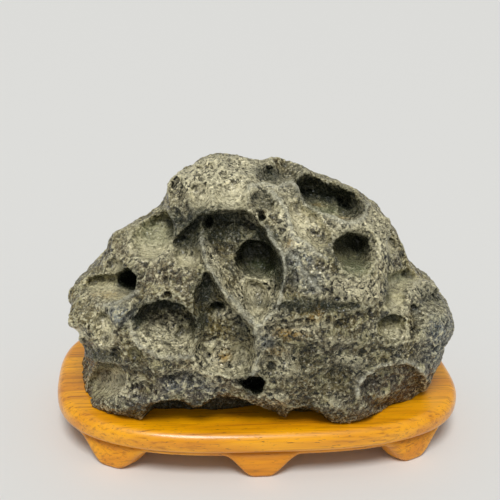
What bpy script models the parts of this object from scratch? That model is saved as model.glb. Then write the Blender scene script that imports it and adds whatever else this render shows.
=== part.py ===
"""A scholar's rock on its wooden stand: a pitted limestone on an oval board over a footed apron.

The frame: +Z up, -Y the front, the origin at the middle of the stand on the surface that it stands on.
Sizes are written in millimetres and become metres where the meshes are made.
"""

import math

import bmesh
import bpy
import numpy as np
from mathutils import Vector, noise

MM = 0.001

# ---- the stand's driving dimensions, in mm
STAND_LENGTH = 240.0
STAND_DEPTH = 152.0
STAND_HEIGHT = 29.0  # floor to the top of the board
OVAL_POWER = 2.85  # 2 is an ellipse; more squares its shoulders
BOARD_THICKNESS = 12.0
BOARD_TOP_ROUND, BOARD_TOP_SEGMENTS = 6.0, 4
BOARD_UNDER_ROUND, BOARD_UNDER_SEGMENTS = 3.5, 2
BOARD_POINTS = 84
APRON_INSET = 3.0  # from the board's edge to the apron's face
APRON_WIDTH = 11.0
APRON_DROP = 3.0  # how far the apron shows below the board between two feet
APRON_POINTS = 150
APRON_EASE_HEIGHT, APRON_EASE_DEPTH = 1.5, 1.0  # the chamfer along the apron's lower edge
OVAL_STEPS = 4000  # the oval is walked this finely to space its points evenly
FOOT_CENTRES = ((-89, -58), (-6, -73), (85, -60), (89, 58), (0, 73), (-89, 58))  # near the apron's face
FOOT_HALF_WIDTH = 4.0  # of the flat that stands on the floor
FOOT_SWEEP = 18.0  # along the apron, from the foot's flat to the level stretch
TOUCH_GAP = 0.3  # between two pieces that touch

# ---- the rock's driving dimensions, in mm
ROCK_CENTRE = (0.0, -4.0, 85.0)
ROCK_FRONT_DEPTH = 66.0
ROCK_BACK_DEPTH = 54.0
ROCK_ROUNDNESS = 2.5  # 2 rounds it like an egg from front to back; more squares it
LEAN_BACK = 0.10  # how far the rock shifts back for each mm of height
LUMPS = ((42.0, 5.0), (17.0, 2.6), (8.0, 1.0))  # each lump's size and how far it stands out
LUMP_SHIFT = 7.0  # from one size of lump to the next, in the noise, so that they don't line up
BEND_SHIFTS = (31.0, 53.0)  # where in the noise the bends across and up are read
SWELL = 0.16  # how far noise swells or shrinks a hollow's ball, as a share of its size
BALL_REACH = 1.3  # points this many radii from a ball's middle are looked at
RING_POINTS = 14
CORNER_CUTS, CUT_SHARE = 2, 0.25  # how a loop's corners are rounded
FRONT_EDGE = 0.25  # the front's forms fade where the rock turns away by less than this, as a cosine
LIP_WIDTH, LIP_REACH = 1.3, 5.0  # how fast a lip falls away, and how far from it that is followed
NEAREST = 0.01  # mm: keeps a point on the loop from dividing by nothing
TINY = 1e-9
REMESH_SIZE = 1.6
ROCK_TRIANGLES = 6800

# The rock's outline from the front, anticlockwise from its right side: (x, z).
ROCK_OUTLINE = (
    (108, 58), (113, 73), (107, 84), (96, 89), (85, 99), (76, 117), (66, 132), (52, 142), (32, 148),
    (14, 152), (-4, 156), (-22, 159), (-38, 158), (-49, 151), (-56, 141), (-60, 131), (-70, 122),
    (-80, 115), (-88, 106), (-95, 98), (-103, 91), (-111, 82), (-110, 70), (-104, 58), (-101, 42),
    (-108, 22), (-60, 12), (0, 10), (60, 12), (94, 22), (103, 42),
)

# The front's own view, from a little above: the way it faces, as (turn, tilt, roll) in degrees.
FRONT_VIEW = (-7, 22, 0)
FRONT_STRAY = ((14.0, 1.4), (5.0, 0.6))  # how noise bends the mouths: the noise's size and its reach


def ring(across, up, half_width, half_height):
    """An oval of points in the front's view."""
    turns = [2 * math.pi * step / RING_POINTS for step in range(RING_POINTS)]
    return [(across + half_width * math.cos(t), up + half_height * math.sin(t)) for t in turns]


# The front's hollows and lumps, in the order that they are worn. Each has the loop of its mouth in the
# front's view (across, up), its depth (below 0 it stands out), how far it leans across and up for each mm
# of depth, the share of its radius that its wall takes up, 1 where its mouth flares and 0 where it is
# crisp, and how far its lip stands out.
FRONT_FORMS = {
    "right back step": (((73.5, 40), (80, 39), (89, 28.5), (99.5, 12), (95, 7.5), (82.5, 4), (77.5, -0.5),
        (72, -4), (68, 0), (66.5, 6.5), (68, 14), (66, 21), (68.5, 27.5)), 12, (-0.2, 0), 0.35, 0, 0),
    "shield": (((-33, 6), (-35.5, -0.5), (-37, -7), (-35, -14.5), (-33, -23.5), (-35.5, -28),
        (-36.5, -34), (-32.5, -41.5), (-26, -45.5), (-18.5, -46.5), (-10, -47), (-5, -42.5), (-2.5, -37),
        (-2.5, -31), (-4.5, -24), (-7.5, -18), (-12.5, -12.5), (-20, -4.5), (-25.5, 3.5), (-29.5, 8)),
        10, (0, 0.15), 0.45, 0, 1.4),
    "dark vault": (((-49.5, 19), (-46.5, 26.5), (-40, 33.5), (-35, 38.5), (-29.5, 37), (-29, 30),
        (-32, 25), (-38, 22), (-44, 18)), 9, (0.1, 0.3), 0.8, 0, 0),
    "great hollow": (((-33, 26.5), (-34.5, 31.5), (-33, 37), (-29, 40.5), (-22, 41), (-13, 41.5),
        (-7.5, 38), (-2.5, 32.5), (1.5, 27), (5, 22), (8.5, 16.5), (10, 8.5), (8, 1), (6, -5.5),
        (2.5, -12), (-1.5, -18), (-7.5, -13.5), (-13.5, -8.5), (-20, -1), (-26, 6), (-30, 13),
        (-31.5, 20)), 17, (0.1, 0.2), 0.75, 0, 1.5),
    "deep eye": (ring(-5, 15.5, 11, 10.5), 17, (0, 0.1), 0.42, 0, 0.4),
    "great hollow toe": (((-13.5, -2), (-12, 3.5), (-7, 5), (-1.5, 4), (3, -0.5), (4, -6.5), (1.5, -12.5),
        (-2, -16), (-7, -13), (-11, -8)), 4.5, (0, 0.2), 1, 0, 0),
    "shoulder bowl": (((-58.5, 40.5), (-52, 37.5), (-48.5, 31.5), (-50, 25), (-52, 19), (-57, 14.5),
        (-64, 13), (-71, 16), (-75, 21.5), (-74.5, 28), (-70.5, 33), (-66, 37.5)), 13, (0.45, -0.05),
        0.9, 0, 1),
    "left scoop": (((-102, -5), (-100, 0), (-93, 3), (-86, 4.5), (-79, 6.5), (-73.5, 8.5), (-69.5, 5.5),
        (-68, 0), (-69, -5), (-71.5, -8.5), (-78, -10.5), (-87.5, -9), (-96, -8)), 9, (0.4, 0.1),
        0.8, 0, 0.8),
    "left hole": (((-82, 1.5), (-79, 6), (-73.5, 8), (-69, 4.5), (-68.5, -0.5), (-69.5, -4.5),
        (-72.5, -6.5), (-76.5, -4.5), (-80, -2)), 17, (0.5, 0.1), 0.45, 0, 0),
    "left ledge cup": (ring(-83, 9, 6, 5), 5, (0.3, -0.1), 1, 0, 0.5),
    "left brow": (((-106, 3.5), (-97, 11), (-89, 7.5), (-86, 4.5), (-93, 3), (-100, 0.5)), 2.5, (0, 0),
        1, 0, 0),
    "middle scoop": (ring(-40, 16, 7.5, 6), 5.5, (0, 0.1), 1, 0.3, 0.4),
    "middle dip": (ring(-49, 2.5, 6.5, 4), 2, (0, 0), 1, 0.5, 0),
    "cave": (((-68, -18.5), (-66, -14), (-60, -9.5), (-54, -7), (-47.5, -7.5), (-40.5, -10),
        (-36.5, -14.5), (-34, -19.5), (-34, -25.5), (-36, -31), (-40.5, -34.5), (-46.5, -36),
        (-53.5, -34.5), (-59.5, -31), (-64.5, -26.5), (-67.5, -22)), 16, (0.05, 0.4), 0.9, 0, 1.4),
    "cave cup": (ring(-40.5, -26, 6, 5), 3, (0, 0.2), 1, 0, 0.6),
    "cave notch": (ring(-49.5, -4.5, 3, 1.5), 5, (0, 0.3), 1, 0, 0),
    "left fin": (((-87.5, -12), (-77.5, -10.5), (-67.5, -5.5), (-65, -10), (-70.5, -16.5), (-74.5, -22.5),
        (-77, -26), (-79, -20.5), (-83, -16)), -5.5, (0, 0), 0.9, 0, 0),
    "left pale cup": (((-86, -15), (-82, -17.5), (-79, -23), (-79.5, -29), (-84, -34.5), (-88, -31.5),
        (-90.5, -26), (-91, -20), (-89, -17)), 6.5, (0.3, 0.1), 1, 0, 0.8),
    "left tip cup": (((-110.5, -29.5), (-98.5, -22), (-93.5, -24.5), (-94.5, -29), (-106, -36.5),
        (-110, -37.5), (-112.5, -33.5)), 5, (0.3, 0.1), 1, 0, 0.8),
    "corner bowl": (((-89.5, -45), (-81, -42), (-73.5, -44.5), (-71, -50), (-72.5, -57.5), (-79.5, -63),
        (-93, -69.5), (-97.5, -65), (-98.5, -57.5)), 11, (0.35, 0.25), 0.9, 0, 1.2),
    "low scoop": (ring(-66.5, -37, 4, 4.5), 3, (0, 0.2), 1, 0, 0.5),
    "low scoop left": (ring(-76.5, -37, 4, 3.5), 2.5, (0, 0.2), 1, 0, 0),
    "tunnel": (((-8.5, -46), (-5.5, -43.5), (1, -46.5), (2.5, -51), (0, -56), (-2.5, -57.5), (-5, -55),
        (-8, -52.5), (-11, -49)), 18, (0, 0), 0.4, 0, 0.6),
    "shield toe": (ring(-10.5, -36, 7, 8), 3, (0, 0.2), 1, 0, 0),
    "shield pit": (ring(-24, -11, 4.5, 3.5), 6, (0, 0.7), 1, 0, 0.4),
    "button ring": (ring(-27, -32, 6.5, 6), 3.5, (0, 0), 1, 0, 0),
    "button": (ring(-26.5, -32, 3.5, 3.5), -5, (0, 0), 1, 0, 0),
    "crest cup left": (((-43.5, 53.5), (-38, 57), (-31, 54.5), (-28.5, 49), (-29.5, 43.5), (-33, 39.5),
        (-38.5, 40.5), (-42.5, 45.5)), 4.5, (0.1, -0.2), 1, 0.5, 0.4),
    "crest cup right": (((-29.5, 51), (-25.5, 56), (-18.5, 58), (-11.5, 53.5), (-9, 48), (-12, 41.5),
        (-17.5, 39), (-23, 40), (-28.5, 43)), 4.5, (0.1, -0.2), 1, 0.5, 0.4),
    "crest dent": (ring(-17.5, 66, 6.5, 5.5), 2.5, (0, -0.2), 1, 0.5, 0),
    "crest dent left": (ring(-34.5, 62, 6, 5), 2.5, (0, -0.2), 1, 0, 0.5),
    "crest dent middle": (ring(-25.5, 59.5, 4, 3.5), 2.5, (0, -0.2), 1, 0, 0),
    "crest dent far": (ring(-49, 50.5, 5, 7), 5, (0.3, 0), 1, 0, 0.5),
    "crest dent low": (ring(-47, 35.5, 3, 6.5), 3.5, (0.2, 0), 1, 0, 0),
    "crest groove": (((-8, 57), (-5.5, 64.5), (0, 69), (7, 71.5), (14.5, 69.5), (18.5, 66.5), (12, 59),
        (4.5, 56.5), (-3.5, 55.5)), 8, (0, -0.4), 0.8, 0, 0),
    "top slot": (((11.5, 59), (19, 65.5), (27.5, 67.5), (35.5, 64.5), (44.5, 59.5), (52, 56), (55, 49),
        (52, 43), (46.5, 39), (41.5, 37.5), (34, 39.5), (26.5, 41.5), (20.5, 44), (18, 49), (16, 55)),
        15, (-0.1, -0.3), 0.45, 0, 1.6),
    "slot deep end": (((15.5, 61.5), (26.5, 66), (35, 64), (43, 58), (50.5, 54), (52, 47.5), (49, 42),
        (42.5, 41), (34, 43), (26.5, 46), (20.5, 49), (18, 55)), 9, (0, -0.25), 0.5, 0, 0),
    "side pocket": (((-10, 49), (-6, 52.5), (0.5, 52), (4.5, 46.5), (3.5, 41.5), (-0.5, 42.5), (-7, 42),
        (-9.5, 44.5)), 5, (0, 0), 1, 0, 0),
    "small funnel": (ring(-4.5, 38.5, 3.5, 4.5), 4, (0, 0), 1, 0, 0),
    "small black hole": (((-2, 42.5), (-0.5, 37), (-2.5, 34.5), (-5, 35), (-4, 39)), 9, (0, 0), 0.6, 0, 0),
    "saddle valley": (((10.5, 46), (16, 48.5), (19, 45), (23, 42), (29.5, 36.5), (33.5, 33), (34, 26),
        (29, 22.5), (22.5, 23), (19, 25.5), (14.5, 28.5), (12, 34), (10.5, 39)), 7, (0, -0.1), 1, 0, 0),
    "saddle scoop": (ring(25.5, 29, 7, 4.5), 2.2, (0, 0), 1, 0, 0),
    "round pit mouth": (((35.5, 29.5), (40.5, 33), (49, 35.5), (56.5, 34.5), (60.5, 30), (62, 23.5),
        (59, 16), (55, 10), (49, 7.5), (42.5, 9.5), (37.5, 14), (35, 21)), 8, (-0.05, 0), 1, 0.4, 0.8),
    "round pit": (ring(46, 22.5, 11, 10), 14, (-0.1, 0.05), 0.55, 0, 0),
    "right knob": (ring(71.5, 44, 3, 3.5), -3, (0, 0), 1, 0, 0),
    "right nodule": (ring(67.5, 48.5, 2, 2), -1.5, (0, 0), 1, 0, 0),
    "back cup": (ring(72.5, 27, 6.5, 5.5), 4.5, (-0.2, -0.1), 1, 0, 0),
    "back low cup": (((68.5, 5.5), (72.5, 12.5), (87, 13.5), (93.5, 8), (82.5, 3.5), (77.5, 0.5),
        (72.5, 0.5)), 5.5, (-0.2, 0), 1, 0, 0),
    "right upper cup": (((64.5, -1.5), (67.5, 2.5), (75, 2.5), (80, -1.5), (80, -6), (75, -11),
        (70.5, -12), (66, -9)), 8, (-0.3, 0.3), 1, 0, 0.7),
    "right lower cup": (((61, -18), (63, -13), (72, -10.5), (78.5, -14), (79.5, -19.5), (77.5, -25.5),
        (71, -27), (65, -25.5)), 9, (-0.25, 0.35), 1, 0, 0.9),
    "wing shade": (((87, -5), (92.5, 1), (104.5, 2.5), (109, -2), (102.5, -6), (94, -6.5)),
        5, (-0.3, 0.2), 1, 0, 0),
    "wing valley": (((80.5, -4), (86, -6), (90, -12), (86.5, -23), (81.5, -26), (80, -17)),
        4.5, (-0.2, 0), 1, 0, 0),
    "wing dent": (ring(90, 2.5, 7.5, 3.5), 2, (0, 0), 1, 0, 0),
    "middle facets": (((10, 18.5), (15.5, 22.5), (20.5, 13), (28.5, 3.5), (40.5, 0), (43.5, -4.5),
        (29, -6.5), (11, -6), (7.5, 0), (9, 10)), 3.5, (0, 0), 0.5, 0, 0),
    "ledge band": (((-0.5, -9), (7.5, -5.5), (25, -3), (40.5, -4.5), (56, -6), (41, -10), (25.5, -12.5),
        (10, -12)), 3, (0, 0.25), 0.8, 0, 0),
    "ledge band low": (((-1, -18), (10, -13.5), (25.5, -14.5), (30, -18), (16, -21), (3, -22)),
        2, (0, 0.25), 0.8, 0, 0),
    "ledge band right": (((35, -15), (45, -10.5), (58, -9.5), (60, -14.5), (47, -18.5), (36.5, -20)),
        2, (0, 0.25), 0.8, 0, 0),
    "belly hollow": (((52.5, -52.5), (54.5, -46.5), (60.5, -40.5), (68, -37.5), (76.5, -37), (84.5, -40),
        (92, -47.5), (97.5, -58), (96, -66), (83, -70), (66.5, -66.5), (56, -61)), 5, (-0.05, 0.1),
        0.35, 0, 1.2),
    "belly ridge": (ring(48.5, -36, 6.5, 2.5), -2, (0, 0), 1, 0, 0),
    "belly dent": (ring(22.5, -35, 9, 8), 3, (0, 0.2), 1, 0.4, 0),
    "belly dent left": (ring(3, -39.5, 6, 7.5), 2.5, (0, 0.2), 1, 0.4, 0),
    "belly dent right": (ring(41, -44.5, 7.5, 6), 2.5, (0, 0.2), 1, 0.4, 0),
    "foot nodule": (ring(9, -59, 6.5, 4), -2.5, (0, 0), 1, 0, 0),
    "foot nodule right": (ring(41.5, -59.5, 5.5, 4), -2, (0, 0), 1, 0, 0),
    "low slope dent": (ring(-41.5, -48, 12, 5.5), 3, (0, 0.2), 1, 0.5, 0),
    "low slope dent left": (ring(-62.5, -56.5, 8, 5.5), 2.5, (0, 0.2), 1, 0.5, 0),
    "base gap": (((-66.5, -84), (-61, -68.5), (-57, -63.5), (-51.5, -61.5), (-44, -61), (-38.5, -64),
        (-35, -66.5), (-30, -63), (-26, -59.5), (-18, -57.5), (-10, -59), (-5, -62), (2, -64), (9, -67.5),
        (14.5, -71), (15.5, -88), (-32, -91), (-60.5, -89.5)), 19, (0, 0), 0.25, 0, 0),
    "base gap right": (((17, -65.5), (24.5, -62.5), (31, -64.5), (39, -69.5), (40.5, -85.5), (23.5, -86),
        (16, -73)), 13, (0, 0), 0.3, 0, 0),
    "base gap far right": (((67, -68), (74.5, -67), (88.5, -68.5), (90.5, -79), (76.5, -82.5)),
        10, (0, 0), 0.3, 0, 0),
}

# The front's sharp ridges: a route in the front's view, half the ridge's width, and how far it stands out.
FRONT_RIDGES = {
    "crest to slot": (((-12.5, 49.5), (-9, 53.5), (-4, 55), (4.5, 54), (11.5, 57), (16.5, 54), (19, 48.5),
        (21, 43.5), (27, 41), (34, 38.5), (42, 36.5), (47.5, 38), (54, 43), (56.5, 49)), 2, 2.2),
    "saddle ridge": (((0.5, 52), (6, 47.5), (9.5, 41.5), (11, 34), (12.5, 27.5), (19, 24.5), (25.5, 20),
        (31.5, 17)), 2, 2.4),
    "vein": (((12, 25), (10, 18.5), (16, 16.5), (19.5, 10.5), (24.5, 4), (28.5, 0.5)), 2, 1.6),
    "great hollow right rim": (((0, 31), (5, 23), (9, 16), (10.5, 8.5), (8, 1), (6.5, -5.5), (3, -12),
        (-3.5, -19)), 1.6, 1.6),
    "shield rim": (((-12.5, -12.5), (-6.5, -17.5), (-3.5, -25), (-2, -33), (-3, -39.5), (-6.5, -45.5)),
        1.8, 1.8),
    "ledge": (((-0.5, -13), (12.5, -8.5), (25.5, -12.5), (41, -8), (57, -6)), 2, 1.8),
    "ledge middle": (((1.5, -19), (15, -15.5), (30, -18.5), (43, -17.5), (60, -12.5)), 2, 1.5),
    "ledge low": (((2, -25.5), (18.5, -23.5), (33, -25.5), (48.5, -23.5), (61.5, -26.5)), 2.5, 1.6),
    "belly lip": (((51.5, -54), (53.5, -46.5), (60, -40.5), (68, -37), (76.5, -36), (85, -39),
        (93, -46.5)), 2, 1.6),
    "cave lip": (((-70, -21), (-64, -31.5), (-54, -36.5), (-44, -37.5), (-36.5, -36)), 1.8, 1.6),
    "cave brow": (((-70.5, -16.5), (-67, -12), (-60.5, -7.5), (-54, -4.5), (-47.5, -4), (-39.5, -6),
        (-33.5, -2)), 2.2, 2.2),
    "low ledge": (((-104.5, -42.5), (-94, -42.5), (-80, -41.5), (-67.5, -43.5), (-50.5, -43.5),
        (-36.5, -45)), 3, 2.2),
    "left fin edge": (((-87.5, -12), (-77.5, -10.5), (-67.5, -4.5), (-65.5, -4)), 1.8, 2),
    "shoulder rim": (((-48, 35.5), (-46, 29), (-48.5, 22.5)), 2.5, 2),
    "great hollow left rim": (((-34, 27), (-32, 20), (-30.5, 13), (-26, 5.5), (-19.5, -2), (-13, -9),
        (-7, -14), (-2.5, -19)), 1.6, 1.6),
}

# The hollows of the ends, the back and the top, largest first where one holds another. Each is a bowl that
# water and grit wore into the rock: a point near its mouth (x, y, z), the way it faces as (turn, tilt) in
# degrees from the front and from level, half its mouth's width and height, its depth, and how far its mouth
# rolls clockwise, in degrees.
HOLLOWS = {
    # the ends, the back and the top
    "back sweep": ((-8, 50, 112), (185, 12), 36, 25, 9, 25),
    "back flank": ((66, 42, 100), (150, 15), 24, 30, 9, -25),
    "back skirt": ((-80, 38, 60), (208, 0), 22, 26, 7, 10),
    "left end bowl": ((-108, 6, 72), (-95, 5), 12, 14, 9, 0),
    "left end pit": ((-102, 22, 48), (-118, -5), 8, 7, 8, 0),
    "left end ledge": ((-92, 12, 103), (-110, 45), 10, 8, 6, 20),
    "right end bowl": ((114, 0, 60), (90, 0), 14, 13, 8, 20),
    "right end cup": ((104, 22, 82), (125, 25), 9, 8, 7, 0),
    "right end pit": ((108, 24, 52), (115, 0), 6, 6, 8, 0),
    "back great hollow": ((24, 48, 110), (170, 5), 22, 18, 15, 15),
    "back eye": ((30, 40, 110), (160, 0), 9, 9, 12, 0),
    "back cave": ((-48, 46, 82), (192, 0), 17, 21, 20, 0),
    "back left shelf": ((-82, 32, 96), (222, 20), 14, 10, 9, 0),
    "back right bowl": ((80, 38, 72), (145, 5), 15, 18, 11, 0),
    "back belly bowl": ((10, 50, 62), (178, -5), 15, 11, 8, 20),
    "back tunnel": ((50, 46, 48), (165, -5), 7, 8, 14, 0),
    "back low bowl": ((-20, 46, 45), (185, -10), 12, 9, 7, 0),
    "back crest bowl": ((-30, 24, 142), (190, 35), 15, 11, 10, -15),
    "back crest pit": ((6, 27, 144), (175, 35), 6, 6, 8, 0),
    "back top scoop": ((56, 20, 126), (150, 40), 14, 10, 8, 0),
    "back shoulder bowl": ((-62, 22, 118), (212, 35), 11, 12, 8, 0),
    "top saddle": ((18, 6, 158), (90, 80), 16, 9, 4, 0),
    "top cup": ((-34, -6, 160), (-60, 75), 9, 8, 5, 0),
    "base arch back": ((30, 42, 29), (172, 0), 16, 5, 10, 0),
    "base arch back left": ((-50, 38, 29), (200, 0), 14, 5, 10, 0),
}

# Knobs: a point on the rock, half its width and how far it stands out.
KNOBS = {
    "wing knob": ((93, -20, 92), 8, 8),
    "left knob": ((-107, -26, 92), 6, 3),
    "left tip": ((-107, -38, 75), 8, 7),
    "shoulder knob": ((-84, 0, 116), 9, 3),
    "crest edge": ((-54, -14, 150), 7, 3),
    "right knob": ((69, -18, 131), 5, 4),
    "right belly": ((40, -62, 36), 16, 4),
    "back crag": ((60, 46, 92), 14, 5),
    "back spine": ((-12, 50, 92), 12, 5),
}


def new_object(name, form, material):
    """An object of this name from a bmesh, which it frees."""
    mesh = bpy.data.meshes.new(name)
    form.to_mesh(mesh)
    form.free()
    mesh.shade_smooth()
    mesh.materials.append(material)
    made = bpy.data.objects.new(name, mesh)
    bpy.context.scene.collection.objects.link(made)
    return made


def clear_scene():
    for old in list(bpy.data.objects):
        bpy.data.objects.remove(old, do_unlink=True)


def finish(name, colour, roughness):
    """A Principled material that isn't metal."""
    material = bpy.data.materials.new(name)
    material.use_nodes = True
    shader = material.node_tree.nodes["Principled BSDF"]
    shader.inputs["Base Color"].default_value = (*colour, 1.0)
    shader.inputs["Roughness"].default_value = roughness
    shader.inputs["Metallic"].default_value = 0.0
    return material


# ---- the rock


def rock_body():
    """The rock before water wore it: an icosphere drawn out to the outline and rounded front and back."""
    form = bmesh.new()
    bmesh.ops.create_icosphere(form, subdivisions=7, radius=1.0)
    outline = np.array(ROCK_OUTLINE, float) - (ROCK_CENTRE[0], ROCK_CENTRE[2])
    bearing = np.arctan2(outline[:, 1], outline[:, 0])
    reach = np.hypot(outline[:, 0], outline[:, 1])
    order = np.argsort(bearing)
    unit = np.array([v.co for v in form.verts])
    angle = np.arctan2(unit[:, 2], unit[:, 0])
    radius = np.interp(angle, bearing[order], reach[order], period=2 * math.pi)
    tip = np.abs(np.arcsin(np.clip(unit[:, 1], -1, 1)))
    outward = np.cos(tip) ** (2 / ROCK_ROUNDNESS)
    forward = np.sin(tip) ** (2 / ROCK_ROUNDNESS)
    depth = np.where(unit[:, 1] < 0, -ROCK_FRONT_DEPTH, ROCK_BACK_DEPTH)
    x = ROCK_CENTRE[0] + radius * outward * np.cos(angle)
    z = ROCK_CENTRE[2] + radius * outward * np.sin(angle)
    y = ROCK_CENTRE[1] + depth * forward + LEAN_BACK * (z - ROCK_CENTRE[2])
    return form, np.stack([x, y, z], 1)


def away_from_middle(points):
    """The way out of the rock at each point, as unit vectors."""
    out = (points - ROCK_CENTRE) / (ROCK_OUTLINE[0][0], ROCK_FRONT_DEPTH, ROCK_CENTRE[2])
    return out / np.linalg.norm(out, axis=1)[:, None]


def noise_at(points, size, shift=0.0):
    return np.array([noise.noise(Vector(p) / size + Vector((shift, 0, 0))) for p in points])


def bend_at(points, size):
    """A smooth chance shift across and up for each point, each from about -1 to 1."""
    return np.stack([noise_at(points, size, shift) for shift in BEND_SHIFTS], 1)


def add_lumps(points):
    out = away_from_middle(points)
    for number, (size, height) in enumerate(LUMPS):
        points += out * (height * noise_at(points, size, LUMP_SHIFT * number))[:, None]


def facing(turn, tilt, roll=0):
    """A hollow's own axes as rows: across, up and out."""
    turn, tilt, roll = (math.radians(angle) for angle in (turn, tilt, roll))
    out = np.array([math.sin(turn) * math.cos(tilt), -math.cos(turn) * math.cos(tilt), math.sin(tilt)])
    level = np.array([math.cos(turn), math.sin(turn), 0.0])
    upright = np.cross(out, level)
    across = level * math.cos(roll) - upright * math.sin(roll)
    return np.stack([across, level * math.sin(roll) + upright * math.cos(roll), out])


def carve(points, near, aim, half_width, half_height, depth, roll):
    """Wears one bowl: each point inside its ball slides away from the ball's top to the ball's far side."""
    mouth = points[np.argmin(((points - near) ** 2).sum(1))]
    axes = facing(*aim, roll)
    mean = math.sqrt(half_width * half_height)
    scale = np.array([half_width, half_height, mean])
    depth_share = depth / mean
    ball = (1 + depth_share**2) / (2 * depth_share)
    top = np.array([0.0, 0.0, 2 * ball - depth_share])
    centre = np.array([0.0, 0.0, ball - depth_share])
    local = (points - mouth) @ axes.T / scale
    near_ball = np.flatnonzero(((local - centre) ** 2).sum(1) < (BALL_REACH * ball) ** 2)
    swell = 1 + SWELL * noise_at(points[near_ball], 0.8 * mean)[:, None]
    held = local[near_ball] * swell
    worn = ((held - centre) ** 2).sum(1) < ball**2
    inside, held, swell = near_ball[worn], held[worn], swell[worn]
    line = held - top
    slide = -2 * (line @ (top - centre)) / (line**2).sum(1)
    landed = (top + slide[:, None] * line) / swell
    points[inside] = mouth + (landed * scale) @ axes


def distance_to_route(points, route):
    route = np.array(route, float)
    nearest = np.full(len(points), np.inf)
    for start, end in zip(route[:-1], route[1:]):
        run = end - start
        share = np.clip((points - start) @ run / (run @ run), 0, 1)
        nearest = np.minimum(nearest, np.linalg.norm(points - start - share[:, None] * run, axis=1))
    return nearest


def in_front_view(points):
    """The points seen in the front's view: across, up and towards the eye, in mm from the rock's middle."""
    return (points - ROCK_CENTRE) @ facing(*FRONT_VIEW).T


def rounded(loop):
    """The closed loop with its corners cut, so that it runs smoothly."""
    loop = np.array(loop, float)
    for _ in range(CORNER_CUTS):
        step = CUT_SHARE * (np.roll(loop, -1, axis=0) - loop)
        loop = np.stack([loop + step, np.roll(loop, -1, axis=0) - step], 1).reshape(-1, 2)
    return loop


def depth_inside(spots, loop):
    """How far inside the closed loop each spot is: below 0 outside it, and smooth down the loop's middle.

    Each piece of the loop counts by the sum of 1 / distance cubed along it, so that a straight wall gives
    its own distance.
    """
    inside = np.zeros(len(spots), bool)
    pull = np.zeros(len(spots))
    for start, end in zip(loop, np.roll(loop, -1, axis=0)):
        length = np.linalg.norm(end - start)
        shift = spots - start
        along = shift @ (end - start) / length
        square = (shift**2).sum(1) - along**2 + NEAREST**2
        rest = length - along
        pull += (along / np.sqrt(along**2 + square) + rest / np.sqrt(rest**2 + square)) / square
        spans = (start[1] > spots[:, 1]) != (end[1] > spots[:, 1])
        inside ^= spans & (shift[:, 0] < shift[:, 1] * (end[0] - start[0]) / (end[1] - start[1] + TINY))
    away = np.sqrt(2 / pull)
    return np.where(inside, away, -away)


def wear(points, stray, front, loop, depth, lean, wall, flare, lip):
    """Pushes the mouth's inside in along the front's view, and raises a sharp lip along its edge."""
    across, up, out = facing(*FRONT_VIEW)
    loop = rounded(loop)
    spots = in_front_view(points)[:, :2] + stray
    in_reach = (spots > loop.min(0) - LIP_REACH).all(1) & (spots < loop.max(0) + LIP_REACH).all(1)
    near = np.flatnonzero(in_reach & (front > 0))
    inside = depth_inside(spots[near], loop)
    fall = np.clip(inside / (wall * inside.max()), 0, 1)
    crisp, flared = 1 - (1 - fall) ** 2, fall**2 * (3 - 2 * fall)
    bowl = front[near] * (crisp + flare * (flared - crisp))
    rise = front[near] * lip * np.exp(-np.abs(inside) / LIP_WIDTH)
    points[near] += rise[:, None] * out - depth * bowl[:, None] * (out - lean[0] * across - lean[1] * up)


def raise_ridge(points, stray, front, route, half_width, height):
    away = distance_to_route(in_front_view(points)[:, :2] + stray, route)
    points += (front * height * np.exp(-away / half_width))[:, None] * away_from_middle(points)


def raise_knob(points, near, half_width, height):
    top = points[np.argmin(((points - near) ** 2).sum(1))]
    distance = np.linalg.norm(points - top, axis=1)
    points += away_from_middle(points) * (height * np.exp(-((distance / half_width) ** 2)))[:, None]


def worn_rock():
    """The whole weathered surface, still round underneath and far too fine."""
    form, points = rock_body()
    add_lumps(points)
    stray = sum(reach * bend_at(points, size) for size, reach in FRONT_STRAY)
    front = np.clip(away_from_middle(points) @ facing(*FRONT_VIEW)[2] / FRONT_EDGE, 0, 1)
    for near, aim, half_width, half_height, depth, roll in HOLLOWS.values():
        carve(points, near, aim, half_width, half_height, depth, roll)
    for form_values in FRONT_FORMS.values():
        wear(points, stray, front, *form_values)
    for ridge_values in FRONT_RIDGES.values():
        raise_ridge(points, stray, front, *ridge_values)
    for near, half_width, height in KNOBS.values():
        raise_knob(points, near, half_width, height)
    for v, p in zip(form.verts, points * MM):
        v.co = p
    return form


def settle(made):
    """The object's mesh with its modifiers taken in, as a bmesh, and the object gone."""
    graph = bpy.context.evaluated_depsgraph_get()
    form = bmesh.new()
    form.from_object(made, graph)
    bpy.data.objects.remove(made, do_unlink=True)
    return form


def make_rock(stone):
    draft = new_object("draft", worn_rock(), stone)
    remesh = draft.modifiers.new("even out", "REMESH")
    remesh.mode = "VOXEL"
    remesh.voxel_size = REMESH_SIZE * MM
    even = settle(draft)
    share = ROCK_TRIANGLES / (2 * len(even.faces))
    draft = new_object("draft", even, stone)
    thin = draft.modifiers.new("thin out", "DECIMATE")
    thin.ratio = share
    thin.use_collapse_triangulate = True
    form = settle(draft)
    base = (STAND_HEIGHT + TOUCH_GAP) * MM
    everything = form.verts[:] + form.edges[:] + form.faces[:]
    cut = bmesh.ops.bisect_plane(
        form, geom=everything, plane_co=(0, 0, base), plane_no=(0, 0, -1), clear_outer=True)
    rim = [edge for edge in cut["geom_cut"] if isinstance(edge, bmesh.types.BMEdge)]
    bmesh.ops.holes_fill(form, edges=rim, sides=0)
    bmesh.ops.triangulate(form, faces=form.faces[:])
    return new_object("rock", form, stone)


# ---- the stand


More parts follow.
